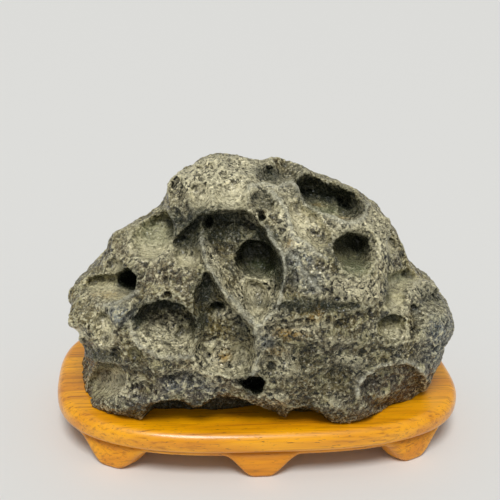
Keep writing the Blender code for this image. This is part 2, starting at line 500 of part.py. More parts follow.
def oval(length, depth, count):
    """Points along the stand's oval, evenly spaced, anticlockwise from its right end."""
    turn = np.linspace(0, 2 * math.pi, OVAL_STEPS + 1)
    power = 2 / OVAL_POWER
    x = length / 2 * np.sign(np.cos(turn)) * np.abs(np.cos(turn)) ** power
    y = depth / 2 * np.sign(np.sin(turn)) * np.abs(np.sin(turn)) ** power
    walked = np.concatenate([[0], np.cumsum(np.hypot(np.diff(x), np.diff(y)))])
    stops = np.linspace(0, walked[-1], count, endpoint=False)
    return np.stack([np.interp(stops, walked, x), np.interp(stops, walked, y)], 1), walked[-1]


def loop_of(form, outline, z):
    """A closed loop of edges at this height, or at each point's own height, in mm."""
    heights = np.broadcast_to(z, len(outline))
    verts = [form.verts.new((x * MM, y * MM, h * MM)) for (x, y), h in zip(outline, heights)]
    return [form.edges.new((a, b)) for a, b in zip(verts, verts[1:] + verts[:1])]


def make_board(wood):
    """An oval board with a full round along its top edge and a small one underneath."""
    form = bmesh.new()
    outline, _ = oval(STAND_LENGTH, STAND_DEPTH, BOARD_POINTS)
    edges = loop_of(form, outline, STAND_HEIGHT - BOARD_THICKNESS)
    face = bmesh.ops.contextual_create(form, geom=edges)["faces"][0]
    raised = bmesh.ops.extrude_face_region(form, geom=[face])["geom"]
    top = [v for v in raised if isinstance(v, bmesh.types.BMVert)]
    bmesh.ops.translate(form, verts=top, vec=(0, 0, BOARD_THICKNESS * MM))
    form.normal_update()
    bmesh.ops.recalc_face_normals(form, faces=form.faces[:])
    middle = (STAND_HEIGHT - BOARD_THICKNESS / 2) * MM
    rounds = (
        (True, BOARD_TOP_ROUND, BOARD_TOP_SEGMENTS),
        (False, BOARD_UNDER_ROUND, BOARD_UNDER_SEGMENTS),
    )
    for above, radius, segments in rounds:
        rim = [
            e for e in form.edges
            if all((v.co.z > middle) == above for v in e.verts) and abs(e.calc_face_angle(0)) > 1]
        bmesh.ops.bevel(
            form, geom=rim, offset=radius * MM, segments=segments, profile=0.5, affect="EDGES",
            clamp_overlap=False)
    return new_object("stand_board", form, wood)


def foot_heights(outline, around):
    """The apron's lower edge: flat under each foot, then an S-curve up to the level stretch."""
    step = around / len(outline)
    reach = np.full(len(outline), np.inf)
    for centre in FOOT_CENTRES:
        nearest = np.argmin(((outline - centre) ** 2).sum(1))
        steps = np.abs(np.arange(len(outline)) - nearest)
        reach = np.minimum(reach, step * np.minimum(steps, len(outline) - steps))
    rise = np.clip((reach - FOOT_HALF_WIDTH) / FOOT_SWEEP, 0, 1)
    return (STAND_HEIGHT - BOARD_THICKNESS - APRON_DROP) * rise**2 * (3 - 2 * rise)


def make_apron(wood):
    """The ring under the board, its lower edge cut into six bracket feet."""
    form = bmesh.new()
    top = STAND_HEIGHT - BOARD_THICKNESS - TOUCH_GAP
    outer, around = oval(STAND_LENGTH - 2 * APRON_INSET, STAND_DEPTH - 2 * APRON_INSET, APRON_POINTS)
    inward = -outer / np.linalg.norm(outer, axis=1)[:, None]
    inner = outer + inward * APRON_WIDTH
    low = foot_heights(outer, around)
    eased = outer + inward * APRON_EASE_DEPTH
    loops = [
        loop_of(form, outer, top),
        loop_of(form, outer, low + APRON_EASE_HEIGHT),
        loop_of(form, eased, low),
        loop_of(form, inner, low),
        loop_of(form, inner, top)]
    for first, second in zip(loops, loops[1:] + loops[:1]):
        bmesh.ops.bridge_loops(form, edges=first + second)
    bmesh.ops.recalc_face_normals(form, faces=form.faces[:])
    return new_object("stand_apron", form, wood)


def build():
    clear_scene()
    stone = finish("waxed_limestone", (0.085, 0.083, 0.075), 0.5)
    wood = finish("varnished_rosewood", (0.52, 0.23, 0.045), 0.25)
    make_rock(stone)
    make_board(wood)
    make_apron(wood)


if __name__ == "__main__":
    build()
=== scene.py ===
# %% [markdown]
# # A scholar's rock on its wooden stand
#
# A scholar's rock is a piece of limestone that water, grit and weak acids have worn for a very long time,
# kept for the look of its hollows and ridges. This one rests on an oval hardwood board over an apron cut
# into six feet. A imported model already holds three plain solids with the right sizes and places. This
# script gives each of them a finely modelled skin and a finish, and then sets a floor, a lamp and a
# camera.
#
# Sizes are written in millimetres, as a maker would, and become metres where a mesh is made.

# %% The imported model, which fixes every size and place
import math

import bmesh
import bpy
import numpy as np
from mathutils import Matrix, Vector, kdtree, noise
from mathutils.bvhtree import BVHTree


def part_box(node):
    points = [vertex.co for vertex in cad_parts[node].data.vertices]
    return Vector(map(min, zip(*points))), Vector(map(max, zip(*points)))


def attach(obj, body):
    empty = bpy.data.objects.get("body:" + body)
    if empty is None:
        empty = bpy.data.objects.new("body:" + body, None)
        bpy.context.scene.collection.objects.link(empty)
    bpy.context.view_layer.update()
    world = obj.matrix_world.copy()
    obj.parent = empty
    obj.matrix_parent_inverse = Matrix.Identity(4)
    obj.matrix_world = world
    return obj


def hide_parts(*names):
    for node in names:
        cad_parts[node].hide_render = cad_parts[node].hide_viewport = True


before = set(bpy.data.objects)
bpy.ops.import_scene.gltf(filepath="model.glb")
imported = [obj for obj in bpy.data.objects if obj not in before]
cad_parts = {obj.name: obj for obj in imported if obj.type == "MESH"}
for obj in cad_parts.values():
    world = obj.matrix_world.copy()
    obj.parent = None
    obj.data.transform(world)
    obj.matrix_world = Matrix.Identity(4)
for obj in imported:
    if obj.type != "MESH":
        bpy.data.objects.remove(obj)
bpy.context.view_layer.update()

MM = 0.001
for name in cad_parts:
    low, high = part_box(name)
    print(f"{name}: {[round(float(side) / MM, 1) for side in np.subtract(high, low)]} mm")

# %% [markdown]
# ## Moving a hundred thousand points
#
# A loop over every vertex is slow in Python, so a mesh's points go out to one numpy array, are moved
# there all together, and come back. Baking an object's modifiers lets one step start from the result of
# the one before. Where a step makes new points, what was known of the old ones is looked up from the
# nearest of them.

# %% Helpers for meshes


def points_of(mesh):
    """The mesh's points in mm, one row each."""
    flat = np.empty(3 * len(mesh.vertices))
    mesh.vertices.foreach_get("co", flat)
    return flat.reshape(-1, 3) / MM


def normals_of(mesh):
    flat = np.empty(3 * len(mesh.vertices))
    mesh.vertices.foreach_get("normal", flat)
    return flat.reshape(-1, 3)


def place(mesh, points):
    mesh.vertices.foreach_set("co", (points * MM).astype(np.float32).ravel())
    mesh.update()


def lookup_of(points):
    """A tree that finds which of these points are near a place."""
    tree = kdtree.KDTree(len(points))
    for number, point in enumerate(points):
        tree.insert(point, number)
    tree.balance()
    return tree


def nearest_in(tree, points):
    """The number of the tree's point that is nearest to each of these."""
    return np.array([tree.find(point)[1] for point in points])


def piece_from(form, name):
    """An object at the origin that holds this bmesh, which it frees."""
    mesh = bpy.data.meshes.new(name)
    form.to_mesh(mesh)
    form.free()
    mesh.shade_smooth()
    made = bpy.data.objects.new(name, mesh)
    bpy.context.scene.collection.objects.link(made)
    return made


def bake(made):
    """Replaces the object's mesh by what its modifiers make of it."""
    graph = bpy.context.evaluated_depsgraph_get()
    baked = bpy.data.meshes.new_from_object(made.evaluated_get(graph))
    made.modifiers.clear()
    made.data = baked
    return baked


# %% [markdown]
# ## The rock before water wore it
#
# The real block was a lump of limestone, wide and low, with a flat break underneath. It could be sculpted
# by hand or grown from metaballs, but its front outline matters most. So it starts from an icosphere,
# whose vertices are even all round, and each vertex is sent out to an outline drawn from the front. From
# front to back it follows a rounded square, and it leans back a little. Three sizes of noise then knock
# it out of true.

# %% The rock's proportions and outline
BLOCK_SUBDIVISIONS = 7
ROCK_CENTRE = (0.0, -4.0, 85.0)
ROCK_FRONT_DEPTH = 66.0
ROCK_BACK_DEPTH = 54.0
ROCK_ROUNDNESS = 2.5  # 2 rounds it like an egg from front to back; more squares it
LEAN_BACK = 0.10  # how far the rock shifts back for each mm of height
LUMPS = ((42.0, 5.0), (17.0, 2.6), (8.0, 1.0))  # each lump's size and how far it stands out
LUMP_SHIFT = 7.0  # each size of lump reads the noise elsewhere, so that they don't line up
BEND_SHIFTS = (31.0, 53.0)  # and so do a bend's two directions

# The outline from the front, anticlockwise from the rock's right side: (x, z).
ROCK_OUTLINE = (
    (108, 58), (113, 73), (107, 84), (96, 89), (85, 99), (76, 117), (66, 132), (52, 142), (32, 148),
    (14, 152), (-4, 156), (-22, 159), (-38, 158), (-49, 151), (-56, 141), (-60, 131), (-70, 122),
    (-80, 115), (-88, 106), (-95, 98), (-103, 91), (-111, 82), (-110, 70), (-104, 58), (-101, 42),
    (-108, 22), (-60, 12), (0, 10), (60, 12), (94, 22), (103, 42),
)


def rock_body():
    """The block before it was worn: an icosphere drawn out to the outline and rounded front and back."""
    form = bmesh.new()
    bmesh.ops.create_icosphere(form, subdivisions=BLOCK_SUBDIVISIONS, radius=1.0)
    outline = np.array(ROCK_OUTLINE, float) - (ROCK_CENTRE[0], ROCK_CENTRE[2])
    bearing = np.arctan2(outline[:, 1], outline[:, 0])
    reach = np.hypot(outline[:, 0], outline[:, 1])
    order = np.argsort(bearing)
    unit = np.array([v.co for v in form.verts])
    angle = np.arctan2(unit[:, 2], unit[:, 0])
    radius = np.interp(angle, bearing[order], reach[order], period=2 * math.pi)
    tip = np.abs(np.arcsin(np.clip(unit[:, 1], -1, 1)))
    outward = np.cos(tip) ** (2 / ROCK_ROUNDNESS)
    forward = np.sin(tip) ** (2 / ROCK_ROUNDNESS)
    depth = np.where(unit[:, 1] < 0, -ROCK_FRONT_DEPTH, ROCK_BACK_DEPTH)
    x = ROCK_CENTRE[0] + radius * outward * np.cos(angle)
    z = ROCK_CENTRE[2] + radius * outward * np.sin(angle)
    y = ROCK_CENTRE[1] + depth * forward + LEAN_BACK * (z - ROCK_CENTRE[2])
    return form, np.stack([x, y, z], 1)


def away_from_middle(points):
    """The way out of the rock at each point, as unit vectors."""
    out = (points - ROCK_CENTRE) / (ROCK_OUTLINE[0][0], ROCK_FRONT_DEPTH, ROCK_CENTRE[2])
    return out / np.linalg.norm(out, axis=1)[:, None]


def noise_at(points, size, shift=0.0):
    return np.array([noise.noise(Vector(p) / size + Vector((shift, 0, 0))) for p in points])


def bend_at(points, size):
    """A smooth chance shift across and up for each point, each from about -1 to 1."""
    return np.stack([noise_at(points, size, shift) for shift in BEND_SHIFTS], 1)


block, surface = rock_body()
way_out = away_from_middle(surface)
for number, (size, height) in enumerate(LUMPS):
    surface += way_out * (height * noise_at(surface, size, LUMP_SHIFT * number))[:, None]
print(f"the unworn block has {len(surface)} points and spans {np.ptp(surface, axis=0).round()} mm")

# %% [markdown]
# ## The front's hollows and ridges
#
# Water and grit wore the front into a great teardrop hollow with a deep eye in it, a cave, a slanting
# slot, a round pit and many cups, with thin ridges between them. A ball or an ellipsoid cuts an
# egg-shaped hole, and these mouths aren't eggs. So each one is drawn as a loop in the front's own view,
# and the points inside it are pushed in along that view by a bowl-shaped profile. A lean carries a roof
# over, or a wall under. The ridges are routes in the same view that push the surface out.

# %% The front's forms
# The front's own view, from a little above: the way it faces, as (turn, tilt, roll) in degrees.
FRONT_VIEW = (-7, 22, 0)
FRONT_STRAY = ((14.0, 1.4), (5.0, 0.6))  # how noise bends the mouths: the noise's size and its reach
RING_POINTS = 14


def ring(across, up, half_width, half_height):
    """An oval of points in the front's view."""
    turns = [2 * math.pi * step / RING_POINTS for step in range(RING_POINTS)]
    return [(across + half_width * math.cos(t), up + half_height * math.sin(t)) for t in turns]


# The front's hollows and lumps, in the order that they are worn. Each has the loop of its mouth in the
# front's view (across, up), its depth (below 0 it stands out), how far it leans across and up for each mm of
# depth, the share of its radius that its wall takes up, 1 where its mouth flares and 0 where it is crisp,
# and how far its lip stands out.
FRONT_FORMS = {
    "right back step": (((73.5, 40), (80, 39), (89, 28.5), (99.5, 12), (95, 7.5), (82.5, 4), (77.5, -0.5),
        (72, -4), (68, 0), (66.5, 6.5), (68, 14), (66, 21), (68.5, 27.5)), 12, (-0.2, 0), 0.35, 0, 0),
    "shield": (((-33, 6), (-35.5, -0.5), (-37, -7), (-35, -14.5), (-33, -23.5), (-35.5, -28),
        (-36.5, -34), (-32.5, -41.5), (-26, -45.5), (-18.5, -46.5), (-10, -47), (-5, -42.5), (-2.5, -37),
        (-2.5, -31), (-4.5, -24), (-7.5, -18), (-12.5, -12.5), (-20, -4.5), (-25.5, 3.5), (-29.5, 8)),
        10, (0, 0.15), 0.45, 0, 1.4),
    "dark vault": (((-49.5, 19), (-46.5, 26.5), (-40, 33.5), (-35, 38.5), (-29.5, 37), (-29, 30),
        (-32, 25), (-38, 22), (-44, 18)), 9, (0.1, 0.3), 0.8, 0, 0),
    "great hollow": (((-33, 26.5), (-34.5, 31.5), (-33, 37), (-29, 40.5), (-22, 41), (-13, 41.5),
        (-7.5, 38), (-2.5, 32.5), (1.5, 27), (5, 22), (8.5, 16.5), (10, 8.5), (8, 1), (6, -5.5),
        (2.5, -12), (-1.5, -18), (-7.5, -13.5), (-13.5, -8.5), (-20, -1), (-26, 6), (-30, 13),
        (-31.5, 20)), 17, (0.1, 0.2), 0.75, 0, 1.5),
    "deep eye": (ring(-5, 15.5, 11, 10.5), 17, (0, 0.1), 0.42, 0, 0.4),
    "great hollow toe": (((-13.5, -2), (-12, 3.5), (-7, 5), (-1.5, 4), (3, -0.5), (4, -6.5), (1.5, -12.5),
        (-2, -16), (-7, -13), (-11, -8)), 4.5, (0, 0.2), 1, 0, 0),
    "shoulder bowl": (((-58.5, 40.5), (-52, 37.5), (-48.5, 31.5), (-50, 25), (-52, 19), (-57, 14.5),
        (-64, 13), (-71, 16), (-75, 21.5), (-74.5, 28), (-70.5, 33), (-66, 37.5)), 13, (0.45, -0.05),
        0.9, 0, 1),
    "left scoop": (((-102, -5), (-100, 0), (-93, 3), (-86, 4.5), (-79, 6.5), (-73.5, 8.5), (-69.5, 5.5),
        (-68, 0), (-69, -5), (-71.5, -8.5), (-78, -10.5), (-87.5, -9), (-96, -8)), 9, (0.4, 0.1),
        0.8, 0, 0.8),
    "left hole": (((-82, 1.5), (-79, 6), (-73.5, 8), (-69, 4.5), (-68.5, -0.5), (-69.5, -4.5),
        (-72.5, -6.5), (-76.5, -4.5), (-80, -2)), 17, (0.5, 0.1), 0.45, 0, 0),
    "left ledge cup": (ring(-83, 9, 6, 5), 5, (0.3, -0.1), 1, 0, 0.5),
    "left brow": (((-106, 3.5), (-97, 11), (-89, 7.5), (-86, 4.5), (-93, 3), (-100, 0.5)), 2.5, (0, 0),
        1, 0, 0),
    "middle scoop": (ring(-40, 16, 7.5, 6), 5.5, (0, 0.1), 1, 0.3, 0.4),
    "middle dip": (ring(-49, 2.5, 6.5, 4), 2, (0, 0), 1, 0.5, 0),
    "cave": (((-68, -18.5), (-66, -14), (-60, -9.5), (-54, -7), (-47.5, -7.5), (-40.5, -10),
        (-36.5, -14.5), (-34, -19.5), (-34, -25.5), (-36, -31), (-40.5, -34.5), (-46.5, -36),
        (-53.5, -34.5), (-59.5, -31), (-64.5, -26.5), (-67.5, -22)), 16, (0.05, 0.4), 0.9, 0, 1.4),
    "cave cup": (ring(-40.5, -26, 6, 5), 3, (0, 0.2), 1, 0, 0.6),
    "cave notch": (ring(-49.5, -4.5, 3, 1.5), 5, (0, 0.3), 1, 0, 0),
    "left fin": (((-87.5, -12), (-77.5, -10.5), (-67.5, -5.5), (-65, -10), (-70.5, -16.5), (-74.5, -22.5),
        (-77, -26), (-79, -20.5), (-83, -16)), -5.5, (0, 0), 0.9, 0, 0),
    "left pale cup": (((-86, -15), (-82, -17.5), (-79, -23), (-79.5, -29), (-84, -34.5), (-88, -31.5),
        (-90.5, -26), (-91, -20), (-89, -17)), 6.5, (0.3, 0.1), 1, 0, 0.8),
    "left tip cup": (((-110.5, -29.5), (-98.5, -22), (-93.5, -24.5), (-94.5, -29), (-106, -36.5),
        (-110, -37.5), (-112.5, -33.5)), 5, (0.3, 0.1), 1, 0, 0.8),
    "corner bowl": (((-89.5, -45), (-81, -42), (-73.5, -44.5), (-71, -50), (-72.5, -57.5), (-79.5, -63),
        (-93, -69.5), (-97.5, -65), (-98.5, -57.5)), 11, (0.35, 0.25), 0.9, 0, 1.2),
    "low scoop": (ring(-66.5, -37, 4, 4.5), 3, (0, 0.2), 1, 0, 0.5),
    "low scoop left": (ring(-76.5, -37, 4, 3.5), 2.5, (0, 0.2), 1, 0, 0),
    "tunnel": (((-8.5, -46), (-5.5, -43.5), (1, -46.5), (2.5, -51), (0, -56), (-2.5, -57.5), (-5, -55),
        (-8, -52.5), (-11, -49)), 18, (0, 0), 0.4, 0, 0.6),
    "shield toe": (ring(-10.5, -36, 7, 8), 3, (0, 0.2), 1, 0, 0),
    "shield pit": (ring(-24, -11, 4.5, 3.5), 6, (0, 0.7), 1, 0, 0.4),
    "button ring": (ring(-27, -32, 6.5, 6), 3.5, (0, 0), 1, 0, 0),
    "button": (ring(-26.5, -32, 3.5, 3.5), -5, (0, 0), 1, 0, 0),
    "crest cup left": (((-43.5, 53.5), (-38, 57), (-31, 54.5), (-28.5, 49), (-29.5, 43.5), (-33, 39.5),
        (-38.5, 40.5), (-42.5, 45.5)), 4.5, (0.1, -0.2), 1, 0.5, 0.4),
    "crest cup right": (((-29.5, 51), (-25.5, 56), (-18.5, 58), (-11.5, 53.5), (-9, 48), (-12, 41.5),
        (-17.5, 39), (-23, 40), (-28.5, 43)), 4.5, (0.1, -0.2), 1, 0.5, 0.4),
    "crest dent": (ring(-17.5, 66, 6.5, 5.5), 2.5, (0, -0.2), 1, 0.5, 0),
    "crest dent left": (ring(-34.5, 62, 6, 5), 2.5, (0, -0.2), 1, 0, 0.5),
    "crest dent middle": (ring(-25.5, 59.5, 4, 3.5), 2.5, (0, -0.2), 1, 0, 0),
    "crest dent far": (ring(-49, 50.5, 5, 7), 5, (0.3, 0), 1, 0, 0.5),
    "crest dent low": (ring(-47, 35.5, 3, 6.5), 3.5, (0.2, 0), 1, 0, 0),
    "crest groove": (((-8, 57), (-5.5, 64.5), (0, 69), (7, 71.5), (14.5, 69.5), (18.5, 66.5), (12, 59),
        (4.5, 56.5), (-3.5, 55.5)), 8, (0, -0.4), 0.8, 0, 0),
    "top slot": (((11.5, 59), (19, 65.5), (27.5, 67.5), (35.5, 64.5), (44.5, 59.5), (52, 56), (55, 49),
        (52, 43), (46.5, 39), (41.5, 37.5), (34, 39.5), (26.5, 41.5), (20.5, 44), (18, 49), (16, 55)),
        15, (-0.1, -0.3), 0.45, 0, 1.6),
    "slot deep end": (((15.5, 61.5), (26.5, 66), (35, 64), (43, 58), (50.5, 54), (52, 47.5), (49, 42),
        (42.5, 41), (34, 43), (26.5, 46), (20.5, 49), (18, 55)), 9, (0, -0.25), 0.5, 0, 0),
    "side pocket": (((-10, 49), (-6, 52.5), (0.5, 52), (4.5, 46.5), (3.5, 41.5), (-0.5, 42.5), (-7, 42),
        (-9.5, 44.5)), 5, (0, 0), 1, 0, 0),
    "small funnel": (ring(-4.5, 38.5, 3.5, 4.5), 4, (0, 0), 1, 0, 0),
    "small black hole": (((-2, 42.5), (-0.5, 37), (-2.5, 34.5), (-5, 35), (-4, 39)), 9, (0, 0), 0.6, 0, 0),
    "saddle valley": (((10.5, 46), (16, 48.5), (19, 45), (23, 42), (29.5, 36.5), (33.5, 33), (34, 26),
        (29, 22.5), (22.5, 23), (19, 25.5), (14.5, 28.5), (12, 34), (10.5, 39)), 7, (0, -0.1), 1, 0, 0),
    "saddle scoop": (ring(25.5, 29, 7, 4.5), 2.2, (0, 0), 1, 0, 0),
    "round pit mouth": (((35.5, 29.5), (40.5, 33), (49, 35.5), (56.5, 34.5), (60.5, 30), (62, 23.5),
        (59, 16), (55, 10), (49, 7.5), (42.5, 9.5), (37.5, 14), (35, 21)), 8, (-0.05, 0), 1, 0.4, 0.8),
    "round pit": (ring(46, 22.5, 11, 10), 14, (-0.1, 0.05), 0.55, 0, 0),
    "right knob": (ring(71.5, 44, 3, 3.5), -3, (0, 0), 1, 0, 0),
    "right nodule": (ring(67.5, 48.5, 2, 2), -1.5, (0, 0), 1, 0, 0),
    "back cup": (ring(72.5, 27, 6.5, 5.5), 4.5, (-0.2, -0.1), 1, 0, 0),
    "back low cup": (((68.5, 5.5), (72.5, 12.5), (87, 13.5), (93.5, 8), (82.5, 3.5), (77.5, 0.5),
        (72.5, 0.5)), 5.5, (-0.2, 0), 1, 0, 0),
    "right upper cup": (((64.5, -1.5), (67.5, 2.5), (75, 2.5), (80, -1.5), (80, -6), (75, -11),
        (70.5, -12), (66, -9)), 8, (-0.3, 0.3), 1, 0, 0.7),
    "right lower cup": (((61, -18), (63, -13), (72, -10.5), (78.5, -14), (79.5, -19.5), (77.5, -25.5),
        (71, -27), (65, -25.5)), 9, (-0.25, 0.35), 1, 0, 0.9),
    "wing shade": (((87, -5), (92.5, 1), (104.5, 2.5), (109, -2), (102.5, -6), (94, -6.5)),
        5, (-0.3, 0.2), 1, 0, 0),
    "wing valley": (((80.5, -4), (86, -6), (90, -12), (86.5, -23), (81.5, -26), (80, -17)),
        4.5, (-0.2, 0), 1, 0, 0),
    "wing dent": (ring(90, 2.5, 7.5, 3.5), 2, (0, 0), 1, 0, 0),
    "middle facets": (((10, 18.5), (15.5, 22.5), (20.5, 13), (28.5, 3.5), (40.5, 0), (43.5, -4.5),
        (29, -6.5), (11, -6), (7.5, 0), (9, 10)), 3.5, (0, 0), 0.5, 0, 0),
    "ledge band": (((-0.5, -9), (7.5, -5.5), (25, -3), (40.5, -4.5), (56, -6), (41, -10), (25.5, -12.5),
        (10, -12)), 3, (0, 0.25), 0.8, 0, 0),
    "ledge band low": (((-1, -18), (10, -13.5), (25.5, -14.5), (30, -18), (16, -21), (3, -22)),
        2, (0, 0.25), 0.8, 0, 0),
    "ledge band right": (((35, -15), (45, -10.5), (58, -9.5), (60, -14.5), (47, -18.5), (36.5, -20)),
        2, (0, 0.25), 0.8, 0, 0),
    "belly hollow": (((52.5, -52.5), (54.5, -46.5), (60.5, -40.5), (68, -37.5), (76.5, -37), (84.5, -40),
        (92, -47.5), (97.5, -58), (96, -66), (83, -70), (66.5, -66.5), (56, -61)), 5, (-0.05, 0.1),
        0.35, 0, 1.2),
    "belly ridge": (ring(48.5, -36, 6.5, 2.5), -2, (0, 0), 1, 0, 0),
    "belly dent": (ring(22.5, -35, 9, 8), 3, (0, 0.2), 1, 0.4, 0),
    "belly dent left": (ring(3, -39.5, 6, 7.5), 2.5, (0, 0.2), 1, 0.4, 0),
    "belly dent right": (ring(41, -44.5, 7.5, 6), 2.5, (0, 0.2), 1, 0.4, 0),
    "foot nodule": (ring(9, -59, 6.5, 4), -2.5, (0, 0), 1, 0, 0),
    "foot nodule right": (ring(41.5, -59.5, 5.5, 4), -2, (0, 0), 1, 0, 0),
    "low slope dent": (ring(-41.5, -48, 12, 5.5), 3, (0, 0.2), 1, 0.5, 0),
    "low slope dent left": (ring(-62.5, -56.5, 8, 5.5), 2.5, (0, 0.2), 1, 0.5, 0),
    "base gap": (((-66.5, -84), (-61, -68.5), (-57, -63.5), (-51.5, -61.5), (-44, -61), (-38.5, -64),
        (-35, -66.5), (-30, -63), (-26, -59.5), (-18, -57.5), (-10, -59), (-5, -62), (2, -64), (9, -67.5),
        (14.5, -71), (15.5, -88), (-32, -91), (-60.5, -89.5)), 19, (0, 0), 0.25, 0, 0),
    "base gap right": (((17, -65.5), (24.5, -62.5), (31, -64.5), (39, -69.5), (40.5, -85.5), (23.5, -86),
        (16, -73)), 13, (0, 0), 0.3, 0, 0),
    "base gap far right": (((67, -68), (74.5, -67), (88.5, -68.5), (90.5, -79), (76.5, -82.5)),
        10, (0, 0), 0.3, 0, 0),
}

# The front's sharp ridges: a route in the front's view, half the ridge's width, and how far it stands out.
FRONT_RIDGES = {
    "crest to slot": (((-12.5, 49.5), (-9, 53.5), (-4, 55), (4.5, 54), (11.5, 57), (16.5, 54), (19, 48.5),
        (21, 43.5), (27, 41), (34, 38.5), (42, 36.5), (47.5, 38), (54, 43), (56.5, 49)), 2, 2.2),
    "saddle ridge": (((0.5, 52), (6, 47.5), (9.5, 41.5), (11, 34), (12.5, 27.5), (19, 24.5), (25.5, 20),
        (31.5, 17)), 2, 2.4),
    "vein": (((12, 25), (10, 18.5), (16, 16.5), (19.5, 10.5), (24.5, 4), (28.5, 0.5)), 2, 1.6),
    "great hollow right rim": (((0, 31), (5, 23), (9, 16), (10.5, 8.5), (8, 1), (6.5, -5.5), (3, -12),
        (-3.5, -19)), 1.6, 1.6),
    "shield rim": (((-12.5, -12.5), (-6.5, -17.5), (-3.5, -25), (-2, -33), (-3, -39.5), (-6.5, -45.5)),
        1.8, 1.8),
    "ledge": (((-0.5, -13), (12.5, -8.5), (25.5, -12.5), (41, -8), (57, -6)), 2, 1.8),
    "ledge middle": (((1.5, -19), (15, -15.5), (30, -18.5), (43, -17.5), (60, -12.5)), 2, 1.5),
    "ledge low": (((2, -25.5), (18.5, -23.5), (33, -25.5), (48.5, -23.5), (61.5, -26.5)), 2.5, 1.6),
    "belly lip": (((51.5, -54), (53.5, -46.5), (60, -40.5), (68, -37), (76.5, -36), (85, -39),
        (93, -46.5)), 2, 1.6),
    "cave lip": (((-70, -21), (-64, -31.5), (-54, -36.5), (-44, -37.5), (-36.5, -36)), 1.8, 1.6),
    "cave brow": (((-70.5, -16.5), (-67, -12), (-60.5, -7.5), (-54, -4.5), (-47.5, -4), (-39.5, -6),
        (-33.5, -2)), 2.2, 2.2),
    "low ledge": (((-104.5, -42.5), (-94, -42.5), (-80, -41.5), (-67.5, -43.5), (-50.5, -43.5),
        (-36.5, -45)), 3, 2.2),
    "left fin edge": (((-87.5, -12), (-77.5, -10.5), (-67.5, -4.5), (-65.5, -4)), 1.8, 2),
    "shoulder rim": (((-48, 35.5), (-46, 29), (-48.5, 22.5)), 2.5, 2),
    "great hollow left rim": (((-34, 27), (-32, 20), (-30.5, 13), (-26, 5.5), (-19.5, -2), (-13, -9),
        (-7, -14), (-2.5, -19)), 1.6, 1.6),
}

# Water polished these and left them pale. The other forms are rough inside.
POLISHED_FORMS = {
    "deep eye", "great hollow toe", "shoulder bowl", "left scoop", "left hole", "left ledge cup",
    "middle scoop", "cave cup", "left pale cup", "left tip cup", "corner bowl", "low scoop", "shield toe",
    "button", "crest cup left", "crest cup right", "saddle valley", "round pit", "back cup", "back low cup",
    "right upper cup", "right lower cup",
}

# Pale lines of painted highlight run along these ridges.
PALE_RIDGES = {
    "crest to slot", "saddle ridge", "vein", "great hollow right rim", "great hollow left rim", "shield rim",
    "cave lip", "left fin edge", "belly lip",
}

# The hollows of the ends, the back and the top, largest first where one holds another. Each is a bowl that
# water and grit wore into the rock: a point near its mouth (x, y, z), the way it faces as (turn, tilt) in
# degrees from the front and from level, half its mouth's width and height, its depth, and how far its mouth
# rolls clockwise, in degrees.
HOLLOWS = {
    "back sweep": ((-8, 50, 112), (185, 12), 36, 25, 9, 25),
    "back flank": ((66, 42, 100), (150, 15), 24, 30, 9, -25),
    "back skirt": ((-80, 38, 60), (208, 0), 22, 26, 7, 10),
    "left end bowl": ((-108, 6, 72), (-95, 5), 12, 14, 9, 0),
    "left end pit": ((-102, 22, 48), (-118, -5), 8, 7, 8, 0),
    "left end ledge": ((-92, 12, 103), (-110, 45), 10, 8, 6, 20),
    "right end bowl": ((114, 0, 60), (90, 0), 14, 13, 8, 20),
    "right end cup": ((104, 22, 82), (125, 25), 9, 8, 7, 0),
    "right end pit": ((108, 24, 52), (115, 0), 6, 6, 8, 0),
    "back great hollow": ((24, 48, 110), (170, 5), 22, 18, 15, 15),
    "back eye": ((30, 40, 110), (160, 0), 9, 9, 12, 0),
    "back cave": ((-48, 46, 82), (192, 0), 17, 21, 20, 0),
    "back left shelf": ((-82, 32, 96), (222, 20), 14, 10, 9, 0),
    "back right bowl": ((80, 38, 72), (145, 5), 15, 18, 11, 0),
    "back belly bowl": ((10, 50, 62), (178, -5), 15, 11, 8, 20),
    "back tunnel": ((50, 46, 48), (165, -5), 7, 8, 14, 0),
    "back low bowl": ((-20, 46, 45), (185, -10), 12, 9, 7, 0),
    "back crest bowl": ((-30, 24, 142), (190, 35), 15, 11, 10, -15),
    "back crest pit": ((6, 27, 144), (175, 35), 6, 6, 8, 0),
    "back top scoop": ((56, 20, 126), (150, 40), 14, 10, 8, 0),
    "back shoulder bowl": ((-62, 22, 118), (212, 35), 11, 12, 8, 0),
    "top saddle": ((18, 6, 158), (90, 80), 16, 9, 4, 0),
    "top cup": ((-34, -6, 160), (-60, 75), 9, 8, 5, 0),
    "base arch back": ((30, 42, 29), (172, 0), 16, 5, 10, 0),
    "base arch back left": ((-50, 38, 29), (200, 0), 14, 5, 10, 0),
}

# The broadest of them were left rough.
ROUGH_HOLLOWS = {"back sweep", "back flank", "back skirt", "top saddle"}

# %% [markdown]
# ## Wearing the hollows into the block
#
# The ends, the back and the top have rounder hollows, so each is a ball that sinks into the block: the
# points inside it slide out to its wall, along lines from a point well above its mouth. Cutting the balls
# off with booleans would give the same bowls with a knife's edge. Sliding keeps one closed skin, and a
# soft lip rises round each mouth as it does where stone dissolves more slowly.

